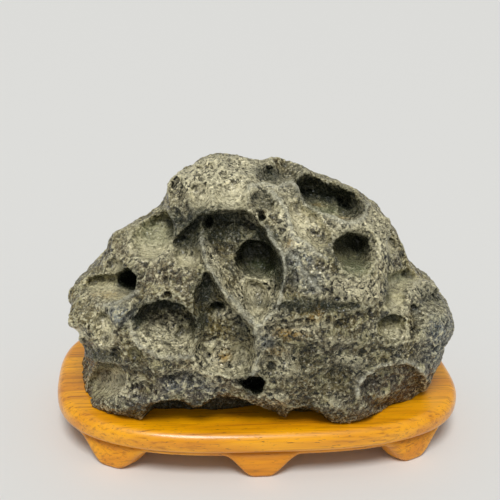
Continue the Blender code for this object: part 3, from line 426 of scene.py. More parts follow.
# %% Ways to wear a hollow
SWELL = 0.16  # how far noise swells or shrinks a ball, as a share of its size
SWELL_NOISE = 0.8  # that noise's size, as a share of the hollow's mean half width
BALL_REACH = 1.4  # how far from its middle a ball is followed, as a share of its radius
LIP_HEIGHT = 0.07  # of the hollow's mean half width
LIP_PLACE, LIP_SPREAD = 1.06, 0.09  # where the lip stands, as a share of the ball's radius
CORNER_CUTS, CUT_SHARE = 2, 0.25  # how a loop's corners are rounded
FRONT_EDGE = 0.25  # the front's forms fade where the rock turns away by less than this, as a cosine
LIP_WIDTH, LIP_REACH = 1.3, 5.0  # how fast a lip falls away, and how far from it that is followed
POLISH_MARGIN = 1.5  # mm from a drawn mouth's edge to full polish
POLISH_RISE = 6  # how steeply a ball's polish grows from its wall inwards
BACK_POLISH = 0.4  # the back was shown and rubbed less than the front
PALE_WIDTH = 0.8  # how far from a ridge its painted highlight reaches, in mm
NEAREST = 0.01  # mm: keeps a point on the loop from dividing by nothing
TINY = 1e-9


def facing(turn, tilt, roll=0):
    """A hollow's own axes as rows: across, up and out."""
    turn, tilt, roll = (math.radians(angle) for angle in (turn, tilt, roll))
    out = np.array([math.sin(turn) * math.cos(tilt), -math.cos(turn) * math.cos(tilt), math.sin(tilt)])
    level = np.array([math.cos(turn), math.sin(turn), 0.0])
    upright = np.cross(out, level)
    across = level * math.cos(roll) - upright * math.sin(roll)
    return np.stack([across, level * math.sin(roll) + upright * math.cos(roll), out])


def carve(points, polish, polished, near, aim, half_width, half_height, depth, roll):
    """Wears one bowl into the points, raises its lip, and notes in polish which points it polished."""
    mouth = points[np.argmin(((points - near) ** 2).sum(1))]
    axes = facing(*aim, roll)
    mean = math.sqrt(half_width * half_height)
    scale = np.array([half_width, half_height, mean])
    depth_share = depth / mean
    ball = (1 + depth_share**2) / (2 * depth_share)
    top = np.array([0.0, 0.0, 2 * ball - depth_share])
    centre = np.array([0.0, 0.0, ball - depth_share])
    local = (points - mouth) @ axes.T / scale
    near_ball = np.flatnonzero(((local - centre) ** 2).sum(1) < (BALL_REACH * ball) ** 2)
    swell = 1 + SWELL * noise_at(points[near_ball], SWELL_NOISE * mean)[:, None]
    held = local[near_ball] * swell
    reach = np.sqrt(((held - centre) ** 2).sum(1)) / ball
    worn = reach < 1
    lip = LIP_HEIGHT * mean * np.exp(-(((reach[~worn] - LIP_PLACE) / LIP_SPREAD) ** 2))
    points[near_ball[~worn]] += lip[:, None] * axes[2]
    inside, held, swell = near_ball[worn], held[worn], swell[worn]
    line = held - top
    slide = -2 * (line @ (top - centre)) / (line**2).sum(1)
    landed = (top + slide[:, None] * line) / swell
    points[inside] = mouth + (landed * scale) @ axes
    polish[inside] = polished * np.clip(POLISH_RISE * (1 - reach[worn]), 0, 1)


def distance_to_route(points, route):
    """How far each point is from the route, which runs straight from stop to stop."""
    route = np.array(route, float)
    nearest = np.full(len(points), np.inf)
    for start, end in zip(route[:-1], route[1:]):
        run = end - start
        share = np.clip((points - start) @ run / (run @ run), 0, 1)
        nearest = np.minimum(nearest, np.linalg.norm(points - start - share[:, None] * run, axis=1))
    return nearest


def in_front_view(points):
    """The points seen in the front's view: across, up and towards the eye, in mm from the rock's middle."""
    return (points - ROCK_CENTRE) @ facing(*FRONT_VIEW).T


def rounded(loop):
    """The closed loop with its corners cut, so that it runs smoothly."""
    loop = np.array(loop, float)
    for _ in range(CORNER_CUTS):
        step = CUT_SHARE * (np.roll(loop, -1, axis=0) - loop)
        loop = np.stack([loop + step, np.roll(loop, -1, axis=0) - step], 1).reshape(-1, 2)
    return loop


def depth_inside(spots, loop):
    """How far inside the closed loop each spot is, and less than 0 outside it.

    Each piece of the loop counts by the sum of 1 / distance cubed along it. So a straight wall gives its
    distance, and the depth has no crease down the loop's middle.
    """
    inside = np.zeros(len(spots), bool)
    pull = np.zeros(len(spots))
    for start, end in zip(loop, np.roll(loop, -1, axis=0)):
        length = np.linalg.norm(end - start)
        shift = spots - start
        along = shift @ (end - start) / length
        square = (shift**2).sum(1) - along**2 + NEAREST**2
        rest = length - along
        pull += (along / np.sqrt(along**2 + square) + rest / np.sqrt(rest**2 + square)) / square
        spans = (start[1] > spots[:, 1]) != (end[1] > spots[:, 1])
        inside ^= spans & (shift[:, 0] < shift[:, 1] * (end[0] - start[0]) / (end[1] - start[1] + TINY))
    away = np.sqrt(2 / pull)
    return np.where(inside, away, -away)


def wear(points, polish, polished, loop, depth, lean, wall, flare, lip):
    """Pushes the mouth's inside in along the front's view, and raises a sharp lip along its edge."""
    across, up, out = facing(*FRONT_VIEW)
    loop = rounded(loop)
    spots = in_front_view(points)[:, :2] + stray
    in_reach = (spots > loop.min(0) - LIP_REACH).all(1) & (spots < loop.max(0) + LIP_REACH).all(1)
    near = np.flatnonzero(in_reach & (front > 0))
    inside = depth_inside(spots[near], loop)
    fall = np.clip(inside / (wall * inside.max()), 0, 1)
    crisp, flared = 1 - (1 - fall) ** 2, fall**2 * (3 - 2 * fall)
    bowl = front[near] * (crisp + flare * (flared - crisp))
    rise = front[near] * lip * np.exp(-np.abs(inside) / LIP_WIDTH)
    worn = near[inside > 0]
    polish[worn] = polished * np.clip(inside[inside > 0] / POLISH_MARGIN, 0, 1)
    points[near] += rise[:, None] * out - depth * bowl[:, None] * (out - lean[0] * across - lean[1] * up)


# %% Wearing them all
stray = sum(reach * bend_at(surface, size) for size, reach in FRONT_STRAY)
front = np.clip(away_from_middle(surface) @ facing(*FRONT_VIEW)[2] / FRONT_EDGE, 0, 1)
polish = np.zeros(len(surface))
for name, hollow_values in HOLLOWS.items():
    carve(surface, polish, BACK_POLISH * (name not in ROUGH_HOLLOWS), *hollow_values)
for name, form_values in FRONT_FORMS.items():
    wear(surface, polish, name in POLISHED_FORMS, *form_values)
# pale lines of painted highlight along the sharp ridges
ridge_highlight = np.zeros(len(surface))
for name, (route, half_width, height) in FRONT_RIDGES.items():
    away = distance_to_route(in_front_view(surface)[:, :2] + stray, route)
    surface += (front * height * np.exp(-away / half_width))[:, None] * away_from_middle(surface)
    if name in PALE_RIDGES:
        ridge_highlight = np.maximum(ridge_highlight, front * np.exp(-((away / PALE_WIDTH) ** 2)))
print(f"{len(HOLLOWS)} bowls, {len(FRONT_FORMS)} drawn forms and {len(FRONT_RIDGES)} ridges are worn")

# %% [markdown]
# ## Knobs
#
# Harder lumps of the stone stand out as knobs. A ball joined on would leave a crease all round it. So
# each knob pushes the surface out by a bell curve around one point, and blends into it.

# %% Knobs
# A point near each knob's middle, how wide it is from there, and how far it stands out.
KNOBS = {
    "wing knob": ((93, -20, 92), 8, 8),
    "left knob": ((-107, -26, 92), 6, 3),
    "left tip": ((-107, -38, 75), 8, 7),
    "shoulder knob": ((-84, 0, 116), 9, 3),
    "crest edge": ((-54, -14, 150), 7, 3),
    "right knob": ((69, -18, 131), 5, 4),
    "right belly": ((40, -62, 36), 16, 4),
    "back crag": ((60, 46, 92), 14, 5),
    "back spine": ((-12, 50, 92), 12, 5),
}

for near, half_width, height in KNOBS.values():
    distance = np.linalg.norm(surface - surface[np.argmin(((surface - near) ** 2).sum(1))], axis=1)
    surface += away_from_middle(surface) * (height * np.exp(-((distance / half_width) ** 2)))[:, None]
print(f"{len(KNOBS)} knobs stand out")

# %% [markdown]
# ## Stains, painted shade and painted light
#
# Minerals tint a stone in patches, and here patches also paint light and shade. Dark patches of painted
# shade lie in the shaded hollows, under the overhangs, over the belly and in the gap under the rock. Calcite
# whitens the crest, and pale patches of calcite and of painted light lie on the lit floors of the cups and
# on lit rims. Iron leaves rust spots, and some faces broke along slate-blue, umber or green beds. They could
# be painted by hand. Here each patch is an oval with a soft edge, bent by noise, so that its place and size
# can be read and changed.

# %% Laying on the stains and the painted shade and light
STRAY_SIZES = (5.0, 2.0)  # the sizes of the noise that bends a stain's edges
STAIN_STRAY, STRAY_SHARE = 3.0, 0.3  # how far it bends them: in mm, or as a share of the stain's size
STAIN_FALL = 0.7  # how fast a stain fades from its middle

# Each stain's middle in the front's view, half width, half height, roll in degrees, and strength.
STAINS = {
    # painted shade: dark patches in the shaded hollows, under the overhangs, over the belly and in the gap
    # under the rock
    "painted_shadow_patch": (
        (-29, 32, 20, 9.5, 0, 1), (-39.5, 30.5, 8, 6.5, 0, 0.8), (-40.5, 23.5, 9, 6, 0, 0.8),
        (-1, 25.5, 7.5, 7.5, 0, 0.9), (7, 10, 3.5, 9.5, 0, 1), (-6, 21, 10, 5.5, 0, 1),
        (-74.5, 1, 7, 6.5, 0, 1), (-53.5, -10, 13, 3.5, 0, 0.9), (-66, -18, 3, 4, 0, 1),
        (-36, -19, 3, 7, 0, 0.9), (-30, -1.5, 7, 10, 0, 0.8), (-32, -17, 3.5, 6.5, 0, 0.8),
        (-24, -8.5, 4, 2, 0, 0.8), (-11.5, -19.5, 5, 7.5, 0, 0.6), (-82, -45.5, 8.5, 3, 0, 0.7),
        (-51, 33, 4.5, 7.5, 0, 0.8), (-88, -40.5, 13.5, 4, 0, 0.7), (-70.5, -44, 15, 3, 0, 0.5),
        (-4, -50.5, 6.5, 6.5, 0, 1), (2, 63.5, 10.5, 5.5, 0, 0.8), (23, 57.5, 8.5, 9.5, 0, 1),
        (37.5, 57.5, 15.5, 7.5, 0, 0.9), (48.5, 48.5, 7.5, 8.5, 0, 0.7), (-4.5, 47, 6.5, 5, 0, 0.5),
        (44.5, 24.5, 11, 8, 0, 0.8), (25, -7, 30.5, 3.5, 0, 0.8), (67.5, -13.5, 7.5, 2.5, 0, 0.9),
        (97.5, -1, 11.5, 5, 0, 0.6), (68.5, 19, 2, 13, 0, 0.7), (67.5, 0.5, 3.5, 6, 0, 0.7),
        (34, -39, 46, 22.5, 0, 0.35), (-25.5, -68.5, 41, 6, 0, 1), (27.5, -69, 12, 5.5, 0, 1),
    ),
    # pale patches: calcite on the crest and its nodules, and painted light on the lit floors of the cups and
    # on lit rims
    "calcite_and_painted_light": (
        (-20.5, 62, 31.5, 14.5, 0, 1), (-35, 48, 7, 8, 0, 1), (-20.5, 48, 9, 8, 0, 0.9),
        (-28, 13.5, 3, 15, -25, 0.9), (-4.5, -6.5, 10, 12, 0, 1.25), (-62, 22, 13.5, 9.5, 0, 0.7),
        (-40, 16, 7.5, 5.5, 0, 0.6), (-85.5, -6, 13.5, 3.5, 0, 0.55), (-83.5, 9.5, 5.5, 4.5, 0, 0.6),
        (-84.5, -26, 5, 7, 0, 1.25), (-100.5, -28.5, 7, 4, 0, 0.8), (-50.5, -26.5, 14, 7, 0, 0.6),
        (-40.5, -26.5, 5.5, 4.5, 0, 0.7), (-65, -26, 3.5, 7.5, -30, 0.5), (-26.5, -32, 4, 3.5, 0, 1.3),
        (-21, -13, 3.5, 2.5, 0, 1), (-31.5, -36.5, 5, 7, 0, 0.8), (-18, -38.5, 16, 8, 0, 0.9),
        (-82.5, -56.5, 11.5, 6.5, 0, 0.8), (-65, -52, 3, 2.5, 0, 0.6), (-67.5, -58.5, 2, 2.5, 0, 0.5),
        (18.5, 38, 12.5, 14, 0, 0.9), (9.5, 37.5, 3, 12.5, 15, 0.7), (4.5, 54, 17.5, 3, 0, 0.7),
        (53, 37.5, 21, 10.5, 0, 0.6), (61, 27, 5.5, 20.5, 0, 0.45), (47, 2.5, 19, 6.5, 0, 0.6),
        (71.5, 28, 6, 5.5, 0, 0.8), (76.5, 6, 11.5, 4.5, 0, 0.6), (73.5, -8, 6, 3.5, 0, 0.7),
        (72.5, -22, 7, 3.5, 0, 0.8), (94.5, 3.5, 14, 6.5, 0, 0.8), (86, 0.5, 7, 2, 0, 0.7),
        (48.5, -36, 6.5, 2.5, 0, 0.8), (11.5, -39, 7.5, 8, 0, 0.4), (9, -59, 6, 3.5, 0, 0.6),
        (41.5, -59.5, 4.5, 4, 0, 0.5), (18.5, -19.5, 7.5, 2, 0, 0.6), (30, -17, 6.5, 2, 0, 0.5),
        (-6, 38.5, 2.5, 4, 0, 0.7), (39.5, -25.5, 8, 2.5, 0, 0.4),
    ),
    "iron": (
        (28, -10.5, 2.5, 3.5, 0, 0.9), (25.5, -13.5, 3, 2, 0, 0.8), (13.5, -22, 6.5, 2, 0, 0.8),
        (-19.5, -36.5, 3.5, 3, 0, 0.9), (11.5, 24.5, 1.5, 2, 0, 0.8), (29.5, 48, 5, 1, 0, 0.6),
        (44.5, 41, 4, 1, 0, 0.6), (7.5, -32.5, 4.5, 1.5, 0, 0.6), (-85.5, -7, 8.5, 1.5, 0, 0.5),
    ),
    "slate": (
        (16, 16.5, 7.5, 7.5, 0, 0.9), (24.5, 5.5, 11, 6.5, 0, 0.7), (1, -26.5, 5, 5, 0, 0.8),
        (100.5, -24.5, 12.5, 17.5, 0, 0.8), (-74.5, -16, 9.5, 5.5, 0, 0.9), (-36.5, -52.5, 14, 7, 0, 0.5),
        (-59.5, -63, 16, 3.5, 0, 0.5), (-1, 62.5, 9.5, 5, 0, 0.4), (44, 58, 13.5, 6, 0, 0.4),
    ),
    "umber": (
        (-56, 4.5, 19.5, 9, 0, 0.6), (-39, -55, 43, 12.5, 0, 0.6), (19.5, -20.5, 33, 8, 0, 0.4),
        (-82.5, 16, 9, 5, 0, 0.5), (75.5, -51.5, 24.5, 13, 0, 0.9), (-18, -56, 14.5, 5, 0, 0.5),
        (-57.5, -8, 8, 2.5, 0, 0.4), (37.5, -34.5, 27, 12, 0, 0.5), (-66.5, -43, 19.5, 4, 0, 0.5),
    ),
    "verdigris": (
        (-1.5, 11.5, 7.5, 5, 0, 0.9), (33.5, 46, 12, 5, 0, 0.8), (47.5, 14, 7.5, 4, 0, 0.9),
        (-62, 27.5, 12, 7, 0, 0.5), (76.5, 8.5, 10, 3, 0, 0.6),
    ),
}

spots = in_front_view(surface)[:, :2]
straying = sum(bend_at(surface, size) for size in STRAY_SIZES)
marks = {"polish": polish, "ridge_highlight": ridge_highlight}
for tone, patches in STAINS.items():
    marks[tone] = np.zeros(len(surface))
    for across, up, half_width, half_height, roll, strength in patches:
        turn = math.radians(roll)
        reach = min(STAIN_STRAY, STRAY_SHARE * min(half_width, half_height))
        shift = spots + reach * straying - (across, up)
        along = (shift[:, 0] * math.cos(turn) - shift[:, 1] * math.sin(turn)) / half_width
        upright = (shift[:, 0] * math.sin(turn) + shift[:, 1] * math.cos(turn)) / half_height
        patch = front * strength * np.exp(-STAIN_FALL * (along**2 + upright**2) ** 1.5)
        marks[tone] = np.maximum(marks[tone], patch)
print("; ".join(f"{name} {100 * (mark > 0.5).mean():.1f}%" for name, mark in marks.items()))

rock = piece_from(block, "weathered_rock")
place(rock.data, surface)
print(f"the worn rock spans {np.ptp(surface, axis=0).round()} mm")

# %% [markdown]
# ## An even skin
#
# Sliding has stretched the faces on the walls of the deep hollows, and fine relief needs even faces. The
# Voxel mode of the Remesh modifier wraps the form in a new skin of squares. It drops everything but the
# shape, so the polish and the stains are looked up afterwards, from the nearest point of the old skin.

# %% Remeshing the rock
SKIN_STEP = 0.8  # the side of one square

even = rock.modifiers.new("even skin", "REMESH")
even.mode = "VOXEL"
even.voxel_size = SKIN_STEP * MM
skin = bake(rock)
points = points_of(skin)
origin = nearest_in(lookup_of(surface), points)
marks = {name: mark[origin] for name, mark in marks.items()}
print(f"the even skin has {len(points)} points")

# %% [markdown]
# ## How hollow each point is
#
# Relief and colour both depend on where a point is: the colour paints shade into the clefts and light onto
# the edges. Smoothing a copy of the skin pulls edges in and clefts out, so how far a point moved along its
# normal tells which it is. The same smoothing softens the stains' edges and tells which way the stone faces
# on the whole.

# %% Smoothing, and what it measures
SMOOTH_SHARE = 0.7  # how far each round moves a value towards its neighbours' mean
MARK_ROUNDS, UPWARD_ROUNDS, EDGE_ROUNDS = 3, 6, 5

ends = np.empty(2 * len(skin.edges), np.int64)
skin.edges.foreach_get("vertices", ends)
ends = ends.reshape(-1, 2)
neighbours = np.bincount(ends.ravel(), minlength=len(points))


def smoothed(values, rounds):
    """Values averaged with those of the neighbouring points, so many times."""
    values = values.copy()
    for _ in range(rounds):
        for column in values.T:
            total = np.bincount(ends[:, 0], column[ends[:, 1]], len(column))
            total += np.bincount(ends[:, 1], column[ends[:, 0]], len(column))
            column += SMOOTH_SHARE * (total / neighbours - column)
    return values


def hollowness(points, normals, rounds):
    """How far each point sits below its smoothed surroundings, in mm."""
    return ((smoothed(points, rounds) - points) * normals).sum(1)


marks = {name: smoothed(mark[:, None], MARK_ROUNDS)[:, 0] for name, mark in marks.items()}
upward = smoothed(normals_of(skin), UPWARD_ROUNDS)[:, 2]
print(f"{100 * (upward > 0.5).mean():.0f}% of the skin faces up")

# %% [markdown]
# ## Fine relief
#
# Between the polished bowls the stone is rough: etched into small scallops that meet in low ridges,
# beaded with nodules of harder calcite, cragged, and pocked with pits. Voronoi noise strews chance points
# and tells how far each place is from the two nearest. The first distance gives round nodules, and the
# difference between the two gives scallops. Ridged noise gives the crags, and each pit is a small bowl at
# a chance point. All of it goes along the normals, and it fades where water polished the stone.

# %% Scallops, nodules and crags
POLISH_CALM = 0.8  # the share of the relief that full polish takes away
CELL_STRAY = 0.35  # how far noise bends the cells' edges, as a share of a cell's size
SCALLOPS = ((12.0, 0.8), (5.0, 0.25))  # each size of scallop, and how far its ridges stand above its floor
SCALLOP_FLOOR = 0.45  # the share of a scallop's size over which it falls from its ridge
SCALLOP_SHARE, SCALLOP_SHIFT = 0.55, 1.6  # how strong they are on the whole, and how far noise shifts that
SCALLOP_PATCH = 2.2  # the size of that noise, as a share of the scallop's
NODULES = ((3.4, 0.4), (2.0, 0.3))  # each size of nodule, and how far its top stands above its cleft
NODULE_WIDTH = 0.62  # the share of a nodule's size from its top down to the cleft
# How strong the nodules are anywhere, what the pale patches of calcite and painted light add, how far noise
# shifts that, and the noise's size.
KNOBBLY_SHARE, KNOBBLY_PALE, KNOBBLY_SHIFT, KNOBBLY_PATCH = 0.25, 1.1, 0.9, 14.0
KNOBBLY_PLACE = 3.0  # where in the noise it is read, so that it doesn't line up with the scallops
CRAG_SIZE, CRAG_HEIGHT = 4.0, 0.22
CRAG_FALL, CRAG_STEP, CRAG_OCTAVES, CRAG_OFFSET, CRAG_GAIN = 0.9, 2.1, 4, 1.0, 2.0  # the fractal's settings
CRAG_LIMIT = 2  # no crag stands out more than this many standard deviations
noise.seed_set(11)  # a seed shifts the noise that bends the cells, and unset it comes from the clock


def cells(points, size):
    """How far each point is from its cell's middle, and from the cell's edge, as shares of a cell's size."""
    found = np.empty((len(points), 2))
    for number, point in enumerate(points):
        at = Vector(point) / size
        at += CELL_STRAY * noise.noise_vector(2 * at)
        near, next_near = noise.voronoi(at)[0][:2]
        found[number] = near, next_near - near
    return found.T


def crag_at(point):
    return noise.ridged_multi_fractal(
        Vector(point) / CRAG_SIZE, CRAG_FALL, CRAG_STEP, CRAG_OCTAVES, CRAG_OFFSET, CRAG_GAIN)


rough = 1 - POLISH_CALM * marks["polish"]
relief = np.zeros(len(points))
for size, height in SCALLOPS:
    share = np.clip(SCALLOP_SHARE + SCALLOP_SHIFT * noise_at(points, SCALLOP_PATCH * size, size), 0, 1)
    relief -= height * share * rough * np.clip(cells(points, size)[1] / SCALLOP_FLOOR, 0, 1)
pale_share = KNOBBLY_SHARE + KNOBBLY_PALE * marks["calcite_and_painted_light"]
knobbly_noise = KNOBBLY_SHIFT * noise_at(points, KNOBBLY_PATCH, KNOBBLY_PLACE)
knobbly = rough * np.clip(pale_share + knobbly_noise, 0, 1)
for size, height in NODULES:
    relief += height * knobbly * (1 - np.clip(cells(points, size)[0] / NODULE_WIDTH, 0, 1) ** 2)
crag = np.array([crag_at(point) for point in points])
crag = (crag - crag.mean()) / crag.std()
relief += rough * CRAG_HEIGHT * np.clip(crag, -CRAG_LIMIT, CRAG_LIMIT)
print(f"scallops, nodules and crags go from {relief.min():.1f} to {relief.max():.1f} mm")

# %% Pits
PITS, PIT_SEED = 420, 11
PIT_REACH = (1.2, 3.6)  # the least and greatest radius of a pit
PIT_RARITY = 2.5  # 1 makes large pits as common as small ones; more makes them rarer
PIT_DEPTH = 0.30  # of its radius, as the next four are
PIT_RIM_HEIGHT, PIT_RIM_PLACE, PIT_RIM_SPREAD = 0.08, 1.1, 0.2
PIT_FOLLOWED = 1.5

tree = lookup_of(points)
chance = np.random.default_rng(PIT_SEED)
for pit in chance.integers(0, len(points), PITS):
    radius = PIT_REACH[0] + (PIT_REACH[1] - PIT_REACH[0]) * chance.random() ** PIT_RARITY
    found = tree.find_range(points[pit], PIT_FOLLOWED * radius)
    members = np.array([number for _, number, _ in found])
    share = np.array([distance for _, _, distance in found]) / radius
    bowl = -PIT_DEPTH * radius * np.clip(1 - share**2, 0, 1)
    lip = PIT_RIM_HEIGHT * radius * np.exp(-(((share - PIT_RIM_PLACE) / PIT_RIM_SPREAD) ** 2))
    relief[members] += rough[members] * (bowl + lip)

points += normals_of(skin) * relief[:, None]
place(skin, points)
fine_edge = -hollowness(points, normals_of(skin), EDGE_ROUNDS)
print(f"with its pits the relief goes from {relief.min():.1f} to {relief.max():.1f} mm")

# %% [markdown]
# ## Fitting the rock to its board, and marking it for its finish
#
# The rock was ground flat underneath to stand. The Decimate modifier drops points where the skin is
# smooth, a plane cuts the base, and the rim of the cut is filled. What was measured on the fine skin is
# then stored on the points that are left, as attributes that the material reads.

# %% Cutting the base and storing the measures
MOST_TRIANGLES = 190000
EDGE_RANGE = 0.8  # mm of cleft and edge that the stored measure spans from 0 to 1

fewer = rock.modifiers.new("fewer faces", "DECIMATE")
fewer.ratio = MOST_TRIANGLES / (2 * len(skin.polygons))
fewer.use_collapse_triangulate = True
bake(rock)
form = bmesh.new()
form.from_mesh(rock.data)
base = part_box("rock")[0][2]
everything = form.verts[:] + form.edges[:] + form.faces[:]
cut = bmesh.ops.bisect_plane(
    form, geom=everything, plane_co=(0, 0, base), plane_no=(0, 0, -1), clear_outer=True)
cut_edges = [edge for edge in cut["geom_cut"] if isinstance(edge, bmesh.types.BMEdge)]
bmesh.ops.holes_fill(form, edges=cut_edges, sides=0)
bmesh.ops.triangulate(form, faces=form.faces[:])
bmesh.ops.recalc_face_normals(form, faces=form.faces[:])
form.to_mesh(rock.data)
form.free()
rock.data.shade_smooth()

final = points_of(rock.data)
source = nearest_in(lookup_of(points), final)


def store(mesh, name, values):
    mesh.attributes.new(name, "FLOAT", "POINT").data.foreach_set("value", values.astype(np.float32))


for name, mark in marks.items():
    store(rock.data, name, mark[source])
store(rock.data, "fine_edge", np.clip(0.5 + fine_edge[source] / EDGE_RANGE, 0, 1))
print(f"the finished rock has {len(rock.data.polygons)} triangles")

# %% [markdown]
# ## How open each point is
#
# The hollows are darkened with painted shade, the more so the less open they are. A handful of rays from
# each point, spread over the half-space that it faces, tell how open it is: the share of them that leave the
# rock.

# %% Measuring openness
RAYS = 14
RAY_LENGTH = 45.0
RAY_LIFT = 0.4  # how far above the skin a ray starts, in mm
GOLDEN_TURN = math.pi * (3 - math.sqrt(5))

shell = bmesh.new()
shell.from_mesh(rock.data)
blockers = BVHTree.FromBMesh(shell)
shell.free()
normals = normals_of(rock.data)
openness = np.zeros(len(final))
for number in range(RAYS):
    lift = math.sqrt(1 - (number + 0.5) / RAYS)
    flat = math.sqrt(1 - lift**2)
    ray = Vector((flat * math.cos(GOLDEN_TURN * number), flat * math.sin(GOLDEN_TURN * number), lift))
    for index, (point, normal) in enumerate(zip(final, normals)):
        way = Vector(normal).to_track_quat("Z", "Y") @ ray
        hit = blockers.ray_cast(Vector(point + RAY_LIFT * normal) * MM, way, RAY_LENGTH * MM)
        openness[index] += hit[0] is None
openness /= RAYS
store(rock.data, "openness", openness)
store(rock.data, "upward", 0.5 + 0.5 * upward[source])
print(f"openness from {openness.min():.2f} to {openness.max():.2f}, {openness.mean():.2f} on average")

# %% [markdown]
# ## Finishes: nodes, masks and layers
#
# A hex colour, as a paint chart gives it, is in sRGB, and Blender's shaders want it linear. A material
# here is a graph of nodes, and one small function adds a node with its settings and its links. A finish
# is then a table of layers, each a colour and the patterns that say where it lies. A mask is the product
# of its terms: each is a pattern, or the part of its range from low to high drawn out to run from 0 to 1
# or between two other numbers.

# %% Colours and nodes
MIX_SHARE, MIX_FIRST, MIX_SECOND, MIX_COLOUR = 0, 6, 7, 2  # a colour Mix node's sockets, by number


def linear(colour):
    """A hex colour as linear RGBA."""
    parts = [int(colour[i : i + 2], 16) / 255 for i in (1, 3, 5)]
    return (*(p / 12.92 if p <= 0.04045 else ((p + 0.055) / 1.055) ** 2.4 for p in parts), 1.0)


def add(material, kind, sockets=None, **settings):
    """Adds a node. A socket gets a value, or a link if its value is another node's output."""
    made = material.node_tree.nodes.new(kind)
    for name, value in settings.items():
        setattr(made, name, value)
    for socket, value in (sockets or {}).items():
        if isinstance(value, bpy.types.NodeSocket):
            material.node_tree.links.new(value, made.inputs[socket])
        else:
            made.inputs[socket].default_value = value
    return made


def new_material(name):
    material = bpy.data.materials.new(name)
    material.use_nodes = True
    material.node_tree.nodes.clear()
    return material


def product_of(material, patterns, *terms):
    """The terms multiplied together: each is a pattern's name and, if it is drawn out, its four numbers."""
    product = None
    for name, *span in terms:
        term = patterns[name]
        if span:
            sockets = {"Value": term, **dict(zip(("From Min", "From Max", "To Min", "To Max"), span))}
            term = add(material, "ShaderNodeMapRange", sockets).outputs["Result"]
        if product:
            term = add(material, "ShaderNodeMath", {0: product, 1: term}, operation="MULTIPLY").outputs[0]
        product = term
    return product


def layered(material, patterns, colours, layers):
    """The first of the colours, with each layer laid over it where its mask is."""
    colour = linear(next(iter(colours.values())))
    for name, *terms in layers:
        mask = product_of(material, patterns, *terms)
        sockets = {MIX_SHARE: mask, MIX_FIRST: colour, MIX_SECOND: linear(colours[name])}
        colour = add(material, "ShaderNodeMix", sockets, data_type="RGBA").outputs[MIX_COLOUR]
    return colour


# %% [markdown]
# ## Waxed limestone
#
# Dark limestone is a fine grey stone with scraps of pale calcite in it. Weathering leaves its rough ground a
# brown charcoal, blotched and flecked with cream and veined with dark clefts; the cream flecks also stand
# for painted glints, and the dark between them for painted shade. Its polished bowls are a pale greenish
# grey, and its foot is stained brown by earth. Calcite whitens its crest, and pale patches of painted light
# lie on the lit floors of its cups. Painted highlight lies on its small edges and in pale lines along its
# sharp ridges, painted light and pale dust lie on the faces that look up, and painted shade lies in its
# creases, its hollows and on the faces that look down. Wax rubbed on and buffed deepens every dark tone and
# leaves glints on whatever swells. So the colour is built in layers, from the ground up to the patches of
# painted shade and the painted ridge highlights. The relief that is too fine for the mesh is bump: two sizes
# of low swellings, and the cracks. The swellings keep to low detail, because steep, fine bumps scatter the
# light and look matt.

# %% The rock's patterns
# What was measured on the skin.
MEASURES = (
    "polish", "ridge_highlight", "painted_shadow_patch", "calcite_and_painted_light", "iron", "slate", "umber", "verdigris", "fine_edge", "openness",
    "upward",
)
# Clouds of noise: each one's size in mm, detail, roughness and distortion. The real stone's specks and beads
# are finer, and would be lost.
CLOUDS = {
    "broad": (16.0, 4, 0.6, 0.0), "patchy": (5.0, 4, 0.6, 0.0), "blobs": (7.0, 1, 0.5, 0.6),
    "wrinkled": (2.4, 2, 0.55, 0.8), "fleck": (1.8, 2, 0.6, 0.5), "fine": (0.7, 3, 0.7, 0.0),
    "swollen": (3.6, 1, 0.5, 0.5), "beaded": (1.9, 1, 0.5, 0.3),
    "cracked": (4.08, 4, 0.6, 1.2), "veined": (8.16, 5, 0.6, 0.8),
}
# These two become winding lines along which the cloud is half way: half a line's width, on its scale.
LINES = {"cracked": 0.035, "veined": 0.02}
HALF_WAY = 0.5
EARTH_FADES, EARTH_FULL = 62 * MM, 32 * MM  # heights above the table

